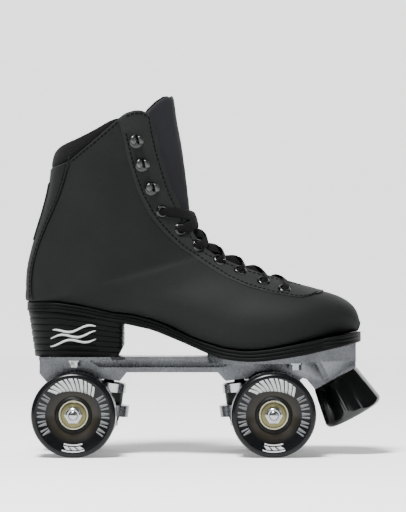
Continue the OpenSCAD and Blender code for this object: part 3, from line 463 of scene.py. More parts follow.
def surfaceDetail(material, shader, look):
    # Tone, gloss and relief from noise and cells on Object coordinates. Sizes are in millimetres: "cell" is
    # the grain's width, "patch" the width of slow tone changes, "relief" the grain's depth.
    place = addNode(material, "ShaderNodeTexCoord").outputs["Object"]
    tone = addNode(material, "ShaderNodeTexNoise",
                   {"Vector": place, "Scale": 1 / (look["patch"] * mm), "Detail": 3.0})
    ramp = addNode(material, "ShaderNodeMix", {"Factor": tone.outputs["Fac"], "A": linearColour(look["dark"]),
                                               "B": linearColour(look["light"])}, data_type="RGBA")
    feed(material, ramp, "Result", shader, "Base Color")
    fine = addNode(material, "ShaderNodeTexNoise",
                   {"Vector": place, "Scale": 1 / (look["cell"] * mm), "Detail": 4.0})
    gloss = addNode(material, "ShaderNodeMapRange",
                    {"Value": fine.outputs["Fac"], "To Min": look["gloss"][0], "To Max": look["gloss"][1]})
    feed(material, gloss, "Result", shader, "Roughness")
    height = fine.outputs["Fac"]
    if look.get("pebbled"):
        cells = addNode(material, "ShaderNodeTexVoronoi", {"Vector": place, "Scale": 1 / (look["cell"] * mm)},
                        feature="SMOOTH_F1")
        height = addNode(material, "ShaderNodeMath", {0: cells.outputs["Distance"], 1: -0.8, 2: height},
                         operation="MULTIPLY_ADD").outputs[0]
    bump = addNode(material, "ShaderNodeBump",
                   {"Height": height, "Strength": 0.6, "Distance": look["relief"] * mm})
    feed(material, bump, "Normal", shader, "Normal")
    return material


def leatherMaterial(name, dark, light, gloss):
    # Corrected-grain leather, pigmented and plated: a fine pebble that breaks a satin sheen
    material, shader = newMaterial(name, dark, 0.5)
    shader.inputs["Specular IOR Level"].default_value = 0.05
    return surfaceDetail(material, shader, {"dark": dark, "light": light, "patch": 30, "cell": 1.1,
                                            "relief": 0.22, "gloss": gloss, "pebbled": True})


def wovenMaterial(name, dark, light, thread, relief, onUv):
    # Plain woven cloth: over and under threads as the product of two waves, drawn at the given thread spacing
    # in mm. On UV the threads follow the strip; on Object coordinates they run along z and round the piece.
    material, shader = newMaterial(name, dark, 0.85)
    shader.inputs["Sheen Weight"].default_value = 0.02
    shader.inputs["Sheen Roughness"].default_value = 0.5
    shader.inputs["Specular IOR Level"].default_value = 0.08
    source = addNode(material, "ShaderNodeTexCoord")
    place = source.outputs["UV"] if onUv else source.outputs["Object"]
    # One wave has a period of 2 pi / 20 of its unit, so a scale of 0.314 / spacing gives one wave a thread
    look = {"Vector": place, "Scale": 0.314 / (thread * mm), "Distortion": 0.4, "Detail": 1.0}
    waves = [addNode(material, "ShaderNodeTexWave", look, bands_direction=way).outputs["Fac"]
             for way in (("X", "Y") if onUv else ("Z", "DIAGONAL"))]
    weave = addNode(material, "ShaderNodeMath", {0: waves[0], 1: waves[1]}, operation="MULTIPLY").outputs[0]
    tint = addNode(material, "ShaderNodeMix",
                   {"Factor": weave, "A": linearColour(dark), "B": linearColour(light)}, data_type="RGBA")
    feed(material, tint, "Result", shader, "Base Color")
    bump = addNode(material, "ShaderNodeBump", {"Height": weave, "Strength": 0.7, "Distance": relief * mm})
    feed(material, bump, "Normal", shader, "Normal")
    return material


def mouldedMaterial(name, dark, light, gloss, cell=1.5, relief=0.03, patch=25, shine=0.2):
    # Moulded rubber, urethane or nylon: an even body colour with faint mould texture and rubbed, duller
    # patches
    material, shader = newMaterial(name, dark, gloss[0])
    shader.inputs["Specular IOR Level"].default_value = shine
    return surfaceDetail(material, shader, {"dark": dark, "light": light, "patch": patch, "cell": cell,
                                            "relief": relief, "gloss": gloss})


def metalMaterial(name, dark, light, gloss, cell, relief, patch=18):
    # Bare or plated metal: tone drifts a little, and the finish's own texture breaks the reflections
    material, shader = newMaterial(name, light, gloss[0], 1.0)
    return surfaceDetail(material, shader, {"dark": dark, "light": light, "patch": patch, "cell": cell,
                                            "relief": relief, "gloss": gloss})


def smokyUrethane():
    # Cast urethane, black in the tread and thinning to a translucent smoky brown towards the hub. The
    # distance from the axle is that of the nearer axle, found by folding x about the middle of the wheelbase.
    material = mouldedMaterial("smokyWheelUrethane", "#08080a", "#0e0f11", (0.18, 0.28), 2.0, 0.01)
    shader = material.node_tree.nodes["Principled BSDF"]
    middle, half = (wheel["rearX"] + wheel["frontX"]) / 2 * mm, (wheel["frontX"] - wheel["rearX"]) / 2 * mm
    coordinates = addNode(material, "ShaderNodeTexCoord")
    place = addNode(material, "ShaderNodeSeparateXYZ", {"Vector": coordinates.outputs["Object"]})
    folded = addNode(material, "ShaderNodeMath", {0: place.outputs["X"], 1: middle}, operation="SUBTRACT")
    folded = addNode(material, "ShaderNodeMath", {0: folded.outputs[0]}, operation="ABSOLUTE")
    folded = addNode(material, "ShaderNodeMath", {0: folded.outputs[0], 1: half}, operation="SUBTRACT")
    lifted = addNode(material, "ShaderNodeMath", {0: place.outputs["Z"], 1: wheel["axleZ"] * mm},
                     operation="SUBTRACT")
    arm = addNode(material, "ShaderNodeCombineXYZ", {"X": folded.outputs[0], "Y": lifted.outputs[0]})
    reach = addNode(material, "ShaderNodeVectorMath", {0: arm.outputs[0]}, operation="LENGTH")
    smoke = addNode(material, "ShaderNodeMapRange",
                    {"Value": reach.outputs["Value"], "From Min": 21 * mm, "From Max": 15 * mm})
    body = shader.inputs["Base Color"].links[0].from_socket
    tint = addNode(material, "ShaderNodeMix", {"Factor": smoke.outputs["Result"], "A": body,
                                               "B": linearColour("#25221c")}, data_type="RGBA")
    feed(material, tint, "Result", shader, "Base Color")
    return material


wheel = {"width": 32.0, "y": 35.5, "axleZ": 31.0, "rearX": -94.8, "frontX": 51.3}


materials = {
    "leather": leatherMaterial("satinBlackLeather", "#161717", "#1c1d1d", (0.52, 0.66)),
    "facing_leather": leatherMaterial("satinFacingLeather", "#1c1d1d", "#232424", (0.5, 0.64)),
    "back_leather": leatherMaterial("backStripLeather", "#131414", "#191a1a", (0.45, 0.62)),
    "tongue_leather": leatherMaterial("tongueLeather", "#1e1e21", "#242427", (0.45, 0.62)),
    # Knitted collar cloth over foam, yarn 1.1 mm so that it shows
    "collar_fabric": wovenMaterial("collarKnit", "#070707", "#141414", 1.1, 0.15, False),
    "lining_fabric": wovenMaterial("brushedLiningKnit", "#0d0d0d", "#191919", 1.2, 0.12, False),
    "insole_fabric": wovenMaterial("insoleKnit", "#1e1e20", "#2c2c2f", 1.2, 0.12, False),
    "webbing": wovenMaterial("polyesterWebbing", "#121212", "#242424", 1.0, 0.2, True),
    # Flat braided cotton lace, strands 0.9 mm
    "lace_cord": wovenMaterial("braidedCottonLace", "#050505", "#121212", 0.9, 0.2, True),
    # Shoe board and stiffener sheet, pressed from fibre
    "stiffener": mouldedMaterial("impregnatedStiffener", "#8a7350", "#9b845e", (0.8, 0.95), 1.0, 0.05),
    "board": mouldedMaterial("pressedFibreBoard", "#8d7850", "#a58f66", (0.8, 0.95), 1.2, 0.06),
    "sole_rubber": mouldedMaterial("satinSoleRubber", "#060707", "#0a0b0b", (0.42, 0.56), shine=0.07),
    "cushion_rubber": mouldedMaterial("blackUrethaneCushion", "#0f0f10", "#171718", (0.4, 0.55)),
    "pivot_plastic": mouldedMaterial("blackAcetalCup", "#111111", "#191919", (0.45, 0.6)),
    "stop_rubber": mouldedMaterial("glossyStopRubber", "#040505", "#08090a", (0.12, 0.2), 2.5, 0.012,
                                   shine=0.5),
    "wheel_urethane": smokyUrethane(),
    "hub_nylon": mouldedMaterial("blackHubNylon", "#040404", "#090a0a", (0.35, 0.5)),
    # Stove enamel on brass eyelets, and black nickel on the hooks
    "eyelet_metal": mouldedMaterial("blackEyeletEnamel", "#020202", "#050505", (0.14, 0.22), 0.8, 0.01,
                                    shine=0.5),
    "hook_metal": metalMaterial("blackNickel", "#3c3d3e", "#545555", (0.3, 0.42), 0.6, 0.01, 6),
    # Tumbled sand-cast aluminium: bright, with a soft orange-peel skin
    "cast_aluminium": metalMaterial("tumbledCastAluminium", "#46484a", "#74767a", (0.2, 0.34), 2.4, 0.011),
    "zinc_steel": metalMaterial("brightZincSteel", "#8f9294", "#bcbec0", (0.16, 0.28), 1.2, 0.008, 8),
    "bearing_steel": metalMaterial("groundBearingSteel", "#7d7b6a", "#a8a58f", (0.16, 0.3), 0.7, 0.01, 6),
    "bearing_shield": metalMaterial("paleGoldShield", "#5d5b40", "#86825e", (0.24, 0.38), 0.8, 0.01, 6),
}
print("materials made:", len(materials))


shellDetail = {"rows": 230, "topRows": 14, "frontCols": 34, "backCols": 44, "toeRows": 8, "toeBulge": 1.1}


def spreadAngles(s, open_, frontCols, backCols):
    # Angles of a ring from the throat's medial edge round the back to its lateral edge. The back half is
    # bunched at its corners, q^e / (q^e + (1 - q)^e) with e half the ring's squareness, so that points lie
    # evenly.
    s, open_ = s[:, None], open_[:, None]
    e = ringAt(s)[..., 8] / 2
    q = np.linspace(0, 1, backCols + 1)[None]
    back = 90 + 90 * q ** e / (q ** e + (1 - q) ** e)
    ahead = open_ + (90 - open_) * np.linspace(0, 1, frontCols + 1)[None]
    half = np.concatenate([ahead[:, :-1], back], 1)
    return np.concatenate([half, 360 - half[:, -2::-1]], 1)


def sleeve(name, start, outerDepth, innerDepth, settle, rows, frontCols, backCols):
    # The whole boot as a sheet: rows of rings from a curved top edge to the toe, where a dome closes it. In
    # the dome a row is the last ring drawn in by cos and pushed forward by sin.
    topRows, toeRows = shellDetail["topRows"], shellDetail["toeRows"]
    s = np.concatenate([settle * np.arange(topRows) / topRows, np.linspace(settle, lastRing, rows - topRows)])
    settled = np.maximum(s, settle)
    angle = spreadAngles(settled, throatAngle(s), frontCols, backCols)
    mergeFrom = int(np.argmax(s >= boot["throatEnd"]))
    signed = signedAngle(angle)
    k = (np.arange(topRows) / topRows)[:, None]
    ring = np.repeat(settled[:, None], angle.shape[1], 1)
    ring[:topRows] = start(signed[:topRows]) * (1 - k) + settle * k
    turn = np.linspace(0, np.pi / 2, toeRows + 2)[1:-1, None, None]
    grids = []
    for depth in (outerDepth, innerDepth):
        grid = bootPoint(ring, angle, depth)
        last = grid[-1]
        middle = last.mean(0)
        dome = middle + (last - middle)[None] * np.cos(turn)
        dome[..., 0] += shellDetail["toeBulge"] * np.sin(turn[..., 0])
        grids.append(np.concatenate([grid, dome]))
    return shell(name, grids[0], grids[1], wrap=True, mergeFrom=mergeFrom, capEnd=True)


# How far a patch's border and its inside face lie under the leather's surface, in millimetres
patch = {"tuck": 0.15, "depth": 0.5}


def overlay(name, s, left, right, thickness, bevel=0.7, cols=40, roundTop=True, roundEnd=True, start=None):
    # Patch sewn on the boot between two angles on each ring. It stands proud by its thickness, and within a
    # bevel's width of its border the height falls off as a quarter circle.
    t = np.linspace(0, 1, cols + 1)
    t = np.sort(np.concatenate([t, [0.004, 0.01, 0.018, 0.982, 0.99, 0.996]]))[None]
    angle = left[:, None] * (1 - t) + right[:, None] * t
    ring = np.repeat(s[:, None], angle.shape[1], 1)
    if start is not None:
        k = np.clip(np.arange(len(s)) / start[1], 0, 1)[:, None]
        ring = start[0](signedAngle(angle)) * (1 - k) + np.maximum(ring, s[start[1]]) * k
    flat = bootPoint(ring, angle, 0)
    across, down = arcLengths(flat, 1), arcLengths(flat, 0)
    edge = np.minimum(across, across[:, -1:] - across)
    if roundTop:
        edge = np.minimum(edge, down)
    if roundEnd:
        edge = np.minimum(edge, down[-1:] - down)
    outside = patch["tuck"] - (thickness + patch["tuck"]) * quarterRound(edge / bevel)
    return shell(name, bootPoint(ring, angle, outside), bootPoint(ring, angle, patch["depth"]))


def denseEnds(low, high, count, fine=(0.15, 0.35, 0.6)):
    # Even steps with a few extra ones close to both ends, in millimetres of a 20 mm ring
    s = np.linspace(low, high, count)
    extra = np.array(fine) / 20
    return np.sort(np.concatenate([s, low + extra, high - extra]))


def leatherStart(angle):
    return ringUnder(leatherEdge, angle)


def innerStart(angle):
    return np.where(np.abs(angle) < boot["collarAngle"] - 4, ringUnder(leatherEdge, angle) + 0.03,
                    boot["cuffRing"] + 0.5)


liningDepth = boot["leather"] + boot["stiffener"]
upper = sleeve("leatherUpper", leatherStart, 0, boot["leather"], boot["cuffRing"], shellDetail["rows"],
               shellDetail["frontCols"], shellDetail["backCols"])
finish(upper, rootBody, materials["leather"], ["upper"])
lining = sleeve("knitLining", innerStart, liningDepth, liningDepth + boot["lining"], boot["cuffRing"] + 0.6,
                110, 18, 24)
finish(lining, rootBody, materials["lining_fabric"], ["lining"])


facing = {"tip": 17, "end": 17.5, "cols": 26, "topRows": 12, "bevel": 0.6}


def facingPiece():
    # Both facings and the tip that joins them below the throat: each side runs from the throat's edge to the
    # sewn edge, which rounds off towards the tip as a quarter ellipse
    tip, end, cols, topRows = facing["tip"], facing["end"], facing["cols"], facing["topRows"]
    s = np.concatenate([np.linspace(0.2, tip, 170)[:-1],
                        tip + (end - tip) * np.sin(np.linspace(0, np.pi / 2, 24))])
    roundOff = np.sqrt(np.clip(1 - ((s - tip) / (end - tip)) ** 2, 0, 1))
    outerEdge = np.where(s > tip, facingAngle(np.array(tip)) * roundOff, facingAngle(s))
    open_ = throatAngle(s)
    mergeFrom = int(np.argmax(s >= boot["throatEnd"]))
    t = np.sort(np.concatenate([np.linspace(0, 1, cols), [0.01, 0.022, 0.978, 0.99]]))
    angle = open_[:, None] + (outerEdge - open_)[:, None] * t[None]
    k = np.clip(np.arange(len(s)) / topRows, 0, 1)[:, None]
    sides = []
    for outside in (True, False):
        halves = []
        for side in (lateral, medial):
            a = side * angle
            ring = leatherStart(a) * (1 - k) + np.maximum(s, s[topRows])[:, None] * k
            flat = bootPoint(ring, a, 0)
            across, down = arcLengths(flat, 1), arcLengths(flat, 0)
            edge = np.minimum(across[:, -1:] - across, down)
            edge = np.where((s < boot["throatEnd"])[:, None], np.minimum(edge, across), edge)
            fall = (boot["overlay"] + patch["tuck"]) * quarterRound(edge / facing["bevel"])
            grid = bootPoint(ring, a, patch["tuck"] - fall if outside else patch["depth"])
            halves.append(grid[:, ::-1] if side == lateral else grid)
        sides.append(np.concatenate(halves, 1))
    piece = shell("facings", sides[0], sides[1], gap=angle.shape[1] - 1, mergeFrom=mergeFrom)
    return finish(piece, rootBody, materials["facing_leather"], ["facing"])


facingPiece()
stripRings = denseEnds(0.9, 7.9, 70)
stripEdge = lookup(stripRings, smoothCurve(backstayAngle))
backStrip = overlay("backStrip", stripRings, stripEdge, 360 - stripEdge, boot["overlay"],
                    start=(leatherStart, 12), roundEnd=False)
finish(backStrip, rootBody, materials["back_leather"], ["backstay"])


def tube(points, radius, sides=8):
    # Round tube along points in millimetres: a ring of sides points in the plane across the path at each
    # point
    points = np.asarray(points, float)
    along = np.gradient(points, axis=0)
    along /= np.linalg.norm(along, axis=1)[:, None]
    first = np.cross(along[0], [0.3, 0.5, 0.81])
    across = np.cross(along, first / np.linalg.norm(first))
    across /= np.linalg.norm(across, axis=1)[:, None]
    up = np.cross(along, across)
    turn = np.linspace(0, 2 * np.pi, sides, endpoint=False)
    return points[:, None] + radius * (across[:, None] * np.cos(turn)[None, :, None]
                                       + up[:, None] * np.sin(turn)[None, :, None])


def loopSkin(name, grid, uv=None):
    # Closed skin over rings of points in millimetres, with a pole in the middle of each end
    rows, n = grid.shape[:2]
    index = np.arange(rows * n).reshape(rows, n)
    turned = np.roll(index, -1, 1)
    faces = np.stack([index[:-1], turned[:-1], turned[1:], index[1:]], -1).reshape(-1, 4).tolist()
    first, last = rows * n, rows * n + 1
    faces += [[a, first, b] for a, b in zip(index[0].tolist(), turned[0].tolist())]
    faces += [[b, last, a] for a, b in zip(index[-1].tolist(), turned[-1].tolist())]
    points = np.concatenate([grid.reshape(-1, 3), grid[:1].mean(1), grid[-1:].mean(1)]) * mm
    if uv is not None:
        uv = np.concatenate([uv.reshape(-1, 2), uv[:1].mean(1), uv[-1:].mean(1)]) * mm
    return tidyMesh(meshObject(name, points, faces, uv=uv))


# Piping sewn into the back strip's two edges
for side, word in ((lateral, "Lateral"), (medial, "Medial")):
    piping = loopSkin("backPiping" + word, tube(bootPoint(stripRings[6:], side * stripEdge[6:], -0.75), 0.55))
    finish(piping, rootBody, materials["back_leather"])

tabRings = denseEnds(1.9, 4.6, 30)
tabHalf = 12.5 * np.ones(len(tabRings))
pullTab = overlay("pullTab", tabRings, 180 - tabHalf, 180 + tabHalf, boot["overlay"] + 0.9, bevel=0.5,
                  cols=24)
finish(pullTab, rootBody, materials["webbing"], ["pull_tab"])
print("leather shell and overlays made")


padding = {"voxel": 1.5, "frames": 20, "pressure": 4.0, "collarCap": 1.2, "tongueCap": 0.8, "smoothing": 6}


def puff(obj, cap, pressure):
    # Cloth recipe for padding: voxel remesh, a little smoothing, then 20 frames of inner pressure with no
    # gravity. No point moves further than the cap, in millimetres. One subdivision, which the caller adds
    # when it finishes the piece, smooths what comes out.
    scene = bpy.context.scene
    remesh = obj.modifiers.new("remesh", "REMESH")
    remesh.mode = "VOXEL"
    remesh.voxel_size = padding["voxel"] * mm
    graph = bpy.context.evaluated_depsgraph_get()
    coarse = bpy.data.meshes.new_from_object(obj.evaluated_get(graph))
    obj.modifiers.clear()
    obj.data = coarse
    bm = bmesh.new()
    bm.from_mesh(coarse)
    for _ in range(padding["smoothing"]):
        bmesh.ops.smooth_vert(bm, verts=bm.verts, factor=0.5, use_axis_x=True, use_axis_y=True,
                              use_axis_z=True)
    bm.to_mesh(coarse)
    bm.free()
    start = np.zeros(3 * len(coarse.vertices), dtype=np.float32)
    coarse.vertices.foreach_get("co", start)
    cloth = obj.modifiers.new("cloth", "CLOTH")
    cloth.settings.use_pressure = True
    cloth.settings.uniform_pressure_force = pressure
    cloth.settings.quality = 5
    cloth.settings.effector_weights.gravity = 0
    cloth.point_cache.frame_start, cloth.point_cache.frame_end = 1, padding["frames"]
    for f in range(1, padding["frames"] + 1):
        scene.frame_set(f)
    graph = bpy.context.evaluated_depsgraph_get()
    blown = bpy.data.meshes.new_from_object(obj.evaluated_get(graph))
    moved = np.zeros(3 * len(blown.vertices), dtype=np.float32)
    blown.vertices.foreach_get("co", moved)
    obj.modifiers.clear()
    step = (moved - start).reshape(-1, 3)
    length = np.linalg.norm(step, axis=1, keepdims=True)
    step *= np.minimum(1, cap * mm / np.maximum(length, 1e-9))
    coarse.vertices.foreach_set("co", (start.reshape(-1, 3) + step).ravel())
    bpy.data.meshes.remove(blown)
    scene.frame_set(1)
    coarse.shade_smooth()
    coarse.update()
    return obj


def collarPiece():
    # A padded band round the back of the cuff: its section is a closed loop that starts on the leather's
    # edge, goes up and over a round crown and down inside to the cuff ring
    angle = np.linspace(boot["collarAngle"], 360 - boot["collarAngle"], 91)
    signed = signedAngle(angle)
    top, edge = ringUnder(collarEdge, signed), ringUnder(leatherEdge, signed)
    bottom = boot["cuffRing"] + 0.4
    outer = boot["leather"] + 0.4
    # Each row is a way down from the crown (1 is the leather's edge, 2 the bottom) and a depth
    rows = [(2.0, outer), (1.6, outer), (1.25, outer), (1.03, outer), (0.97, 0.35), (0.7, 0.25), (0.4, 0.7),
            (0.2, 1.5), (0.06, 2.7), (0.0, 4.2), (0.02, 6.0), (0.14, 7.6), (0.35, 8.5), (0.7, 8.8),
            (1.0, 8.8), (1.25, 8.7), (1.5, 8.5), (1.75, 7.8), (2.0, 6.2)]
    rings = []
    for way, depth in rows:
        s = top + (edge - top) * way if way <= 1 else edge + (bottom - edge) * (way - 1)
        rings.append(bootPoint(s, angle, depth))
    grid = np.stack(rings, 1)
    # Both ends draw in towards the section's middle, so that the pad runs out thin
    taper = np.minimum(np.arange(91), np.arange(91)[::-1]) / 4
    taper = 0.35 + 0.65 * quarterRound(taper)
    middle = grid.mean(1, keepdims=True)
    grid = middle + (grid - middle) * taper[:, None, None]
    piece = loopSkin("collarPad", grid)
    puff(piece, padding["collarCap"], padding["pressure"])
    finish(piece, rootBody, materials["collar_fabric"], ["collar_padding"], subdivide=1)


collarPiece()


def tongueSheet(name, outerDepth, innerDepth, rows=120, cols=48, inset=0.0):
    # The tongue lies in the throat and spreads under its edges. Its sides sink below the lining with a smooth
    # step, and its top corners round off. inset pulls its border in, in millimetres.
    s = np.linspace(-0.42 + inset / 20, 16.4, rows)
    rounding = np.where(s < 0.6, np.sqrt(np.clip(1 - (np.maximum(0.6 - s, 0) / 1.05) ** 1.25, 0.06, 1)), 1)
    width = lookup(np.maximum(s, 0), [[0, 33], [3, 29], [6, 23], [12, 20], [16.4, 15]]) - inset
    half = rounding * angleOfWidth(np.maximum(0, s), width)
    across = np.linspace(-1, 1, cols)
    angle = half[:, None] * across[None]
    open_ = np.maximum(8, throatAngle(np.maximum(0, s)))[:, None]
    low = (2.2 * step01((s - 3.6) / 2))[:, None]
    inner = boot["leather"] + boot["stiffener"] + boot["lining"] + 1.1
    lift = low + (inner - low) * step01(np.abs(angle) / open_ / 0.8)
    ring = np.repeat(s[:, None], cols, 1)
    # The border rounds off: near it both faces close on the middle depth
    flat = bootPoint(ring, angle, lift)
    u, v = arcLengths(flat, 1), arcLengths(flat, 0)
    edge = np.minimum(np.minimum(u, u[:, -1:] - u), v)
    middle, spread = (outerDepth + innerDepth) / 2, (innerDepth - outerDepth) / 2
    fall = quarterRound(edge / (spread * 1.3)) * 0.94 + 0.06
    return shell(name, bootPoint(ring, angle, lift + middle - spread * fall),
                 bootPoint(ring, angle, lift + middle + spread * fall))


tongue = puff(tongueSheet("tongueLeather", 0.5, boot["tongue"] - 0.1), padding["tongueCap"], 1.5)
finish(tongue, rootBody, materials["tongue_leather"], ["tongue"], subdivide=1)
tongueBack = tongueSheet("tongueLining", boot["tongue"] + 0.05, boot["tongue"] + 1.2, rows=90, cols=36,
                         inset=1.0)
finish(tongueBack, rootBody, materials["lining_fabric"], ["tongue_lining"])
print("collar and tongue padded")

# Half widths of the sole by x: lateral, medial; then the heights of its top and its foot
soleSide = np.array([[-100, 31.5, 31], [-75, 31, 30], [-55, 30, 28.5], [-35, 30.5, 28], [-15, 34, 31],
                     [5, 39.5, 36.5], [25, 43.6, 41], [45, 45.2, 42.8], [62, 44, 41.6], [76, 41, 39.6],
                     [88, 36.5, 36.5]])
soleTop = [[-132, 113.2], [-108.4, 112.7], [-88.3, 109.9], [-68.6, 105.5], [-49.2, 103.8], [-31.4, 98.2],
           [-20.8, 93], [-2.5, 84.5], [15.2, 79], [31.4, 77], [49, 78.7], [67.9, 82.2], [92, 87.3],
           [118, 90.8]]
soleFoot = [[-132, 106.6], [-108.4, 106.1], [-88.3, 103.2], [-68.6, 98.8], [-58.9, 97.4], [-37.5, 92.7],
            [-14.2, 83.2], [3.4, 75.4], [12.4, 71.9], [24.9, 70.1], [34.4, 69.6], [44.1, 70.1], [60, 72.2],
            [75.8, 74.7], [100.4, 80.2], [118, 83.9]]
sole = {"backX": -131.4, "frontX": 117.6, "heelX": -100, "toeX": 88, "groove": 0.7, "floorZ": 72.5,
        "heelLayers": 7}
soleTopCurve, soleFootCurve = smoothCurve(soleTop), smoothCurve(soleFoot)
sideCurves = [smoothCurve(soleSide[:, [0, k]]) for k in (1, 2)]


def soleStations(count, margin):
    # x, lateral y and medial y of stations along the sole: round at the heel and at the toe, the side curves
    # between
    t = np.linspace(0.004, 0.996, count)
    heelTurn, toeTurn = np.pi / 2 * np.clip(t / 0.2, 0, 1), np.pi / 2 * np.clip((t - 0.8) / 0.2, 0, 1)
    behind = sole["heelX"] - (sole["heelX"] - sole["backX"] - margin) * np.cos(heelTurn)
    ahead = sole["toeX"] + (sole["frontX"] - margin - sole["toeX"]) * np.sin(toeTurn)
    straight = sole["heelX"] + (sole["toeX"] - sole["heelX"]) * (t - 0.2) / 0.6
    x = np.where(t < 0.2, behind, np.where(t > 0.8, ahead, straight))
    roundEnd = np.where(t < 0.2, np.sin(heelTurn) ** 0.9, np.where(t > 0.8, np.cos(toeTurn) ** 0.85, 1))
    shift = np.where(t > 0.8, 4 * (1 - roundEnd), 0)
    sides = [lookup(x, curve) - margin for curve in sideCurves]
    return x, shift - sides[0] * roundEnd, shift + sides[1] * roundEnd, roundEnd


def soleSlab(name, topCurve, topShift, footCurve, footShift, margin, section, count=220, crown=0.0,
             across=14):
    # Slab between two height curves. Its edge follows the section's steps, (part of the height, inset), and
    # its top and foot are rows of points across, crowned by a cosine.
    x, low, high, roundEnd = soleStations(count, margin)
    top, foot = lookup(x, topCurve) + topShift, lookup(x, footCurve) + footShift
    part, inset = np.array(section).T
    inset = inset[None] * np.clip(np.abs(high - low)[:, None] / 8, 0, 1)
    z = foot[:, None] + (top - foot)[:, None] * part[None]
    lateralEdge = np.stack([np.repeat(x[:, None], len(part), 1), low[:, None] + inset, z], -1)
    medialEdge = np.stack([np.repeat(x[:, None], len(part), 1), high[:, None] - inset, z], -1)[:, ::-1]
    k = (np.arange(1, across) / across)[None]
    topRow = lateralEdge[:, -1:] * (1 - k[..., None]) + medialEdge[:, :1] * k[..., None]
    topRow[..., 2] += crown * np.sin(np.pi * k) * roundEnd[:, None]
    footRow = medialEdge[:, -1:] * (1 - k[..., None]) + lateralEdge[:, :1] * k[..., None]
    return loopSkin(name, np.concatenate([lateralEdge, topRow, medialEdge, footRow], 1))


def groovedSection(bands, groove, softness=0.035):
    # Steps of an edge with a round-cornered groove at each given part of its height
    steps = [(0.0, 0.7), (0.04, 0.25), (0.1, 0.0)]
    for at, width in bands:
        low, high = at - width / 2, at + width / 2
        steps += [(low - softness, 0), (low, groove * 0.4), (low + softness, groove),
                  (high - softness, groove), (high, groove * 0.4), (high + softness, 0)]
    return steps + [(0.93, 0), (0.98, 0.2), (1.0, 0.6)]


outsole = soleSlab("outsole", soleTopCurve, 0, soleFootCurve, 0, 0,
                   groovedSection([(0.38, 0.12), (0.7, 0.12)], sole["groove"]))
finish(outsole, rootBody, materials["sole_rubber"], ["outsole"], sharp=50)
insole = soleSlab("insole", soleTopCurve, 10.8, soleTopCurve, 7.5, 11.2,
                  [(0, 0.6), (0.3, 0), (0.7, 0), (0.92, 0.5), (1, 1.6)], count=120, crown=0.8)
finish(insole, rootBody, materials["insole_fabric"], ["insole"])


# The heel's back, half width and breast at its foot and how much each grows to its top, in millimetres; the
# breast has its whole slope in the lowest part of the height
heel = {"back": -125.4, "backRake": 5, "half": 27, "halfFlare": 3.6, "breast": -63.5, "breastSlope": 4.1,
        "slopePart": 1 / 3.2, "middle": -98, "corner": 5.5, "squareness": 0.85}


def heelOutline(t, inset, count=48):
    # Outline at height t: a superellipse round the back, straight sides and a breast with rounded corners
    back = heel["back"] - heel["backRake"] * t + inset
    half = heel["half"] + heel["halfFlare"] * t - inset
    breast = heel["breast"] + heel["breastSlope"] * np.minimum(1, t / heel["slopePart"]) - inset
    a = np.linspace(-np.pi / 2, np.pi / 2, 2 * count + 1)
    middle, power = heel["middle"], heel["squareness"]
    curve = np.stack([middle - (middle - back) * np.cos(a) ** power,
                      np.sign(a) * half * np.abs(np.sin(a)) ** power], -1)
    corner = np.linspace(0, np.pi / 2, 8)
    r = heel["corner"]
    arc = np.stack([breast - r + r * np.sin(corner), half - r + r * np.cos(corner)], -1)
    straight = np.stack([np.linspace(middle, breast - r, 12)[1:-1], np.full(10, half)], -1)
    side = np.concatenate([straight, arc])
    breastRow = np.stack([np.full(9, breast), np.linspace(half - r, r - half, 11)[1:-1]], -1)
    return np.concatenate([curve, side, breastRow, side[::-1] * [1, -1]])


def heelPiece():
    # Stacked heel: outlines carried up in layers, with a round groove between each two
    groove, layers = sole["groove"], sole["heelLayers"]
    steps = [(0.0, 1.0), (0.004, 0.4), (0.015, 0.0)]
    for k in range(1, layers):
        at = k / layers
        steps += [(at - 0.016, 0), (at - 0.01, groove * 0.35), (at - 0.005, groove * 0.8),
                  (at + 0.005, groove * 0.8), (at + 0.01, groove * 0.35), (at + 0.016, 0)]
    steps += [(0.99, 0.0), (1.0, 0.3)]
    levels = []
    for t, inset in steps:
        p = heelOutline(t, inset)
        z = sole["floorZ"] + (lookup(p[:, 0], soleFootCurve) - sole["floorZ"]) * t
        levels.append(np.concatenate([p, z[:, None]], 1))
    return finish(loopSkin("heelBlock", np.stack(levels)), rootBody, materials["sole_rubber"],
                  ["heel_block"], sharp=50)


heelPiece()
print("sole and heel made")


thread = {"pitch": 3.5, "stitch": 2.6, "width": 1.25}


def evenPoints(points, pitch):
    # Points one pitch apart along a line, with the direction of the line at each
    points = np.asarray(points)
    length = arcLengths(points, 0)
    at = np.arange(pitch / 2, length[-1], pitch)
    even = np.stack([np.interp(at, length, points[:, k]) for k in range(3)], -1)
    ahead = np.stack([np.interp(at + 0.5, length, points[:, k]) for k in range(3)], -1)
    before = np.stack([np.interp(at - 0.5, length, points[:, k]) for k in range(3)], -1)
    along = ahead - before
    return even, along / np.linalg.norm(along, axis=1)[:, None]


def bootNormal(s, angle):
    # Outward direction from two neighbouring points of the boot
    here = bootPoint(s, angle)
    u, v = bootPoint(np.asarray(s) + 0.03, angle) - here, bootPoint(s, np.asarray(angle) + 0.4) - here
    n = np.cross(u, v)
    n /= np.linalg.norm(n, axis=-1, keepdims=True)
    return n * np.where(np.einsum("...k,...k", n, here - bootPoint(s, angle, 1.0)) < 0, -1, 1)[..., None]


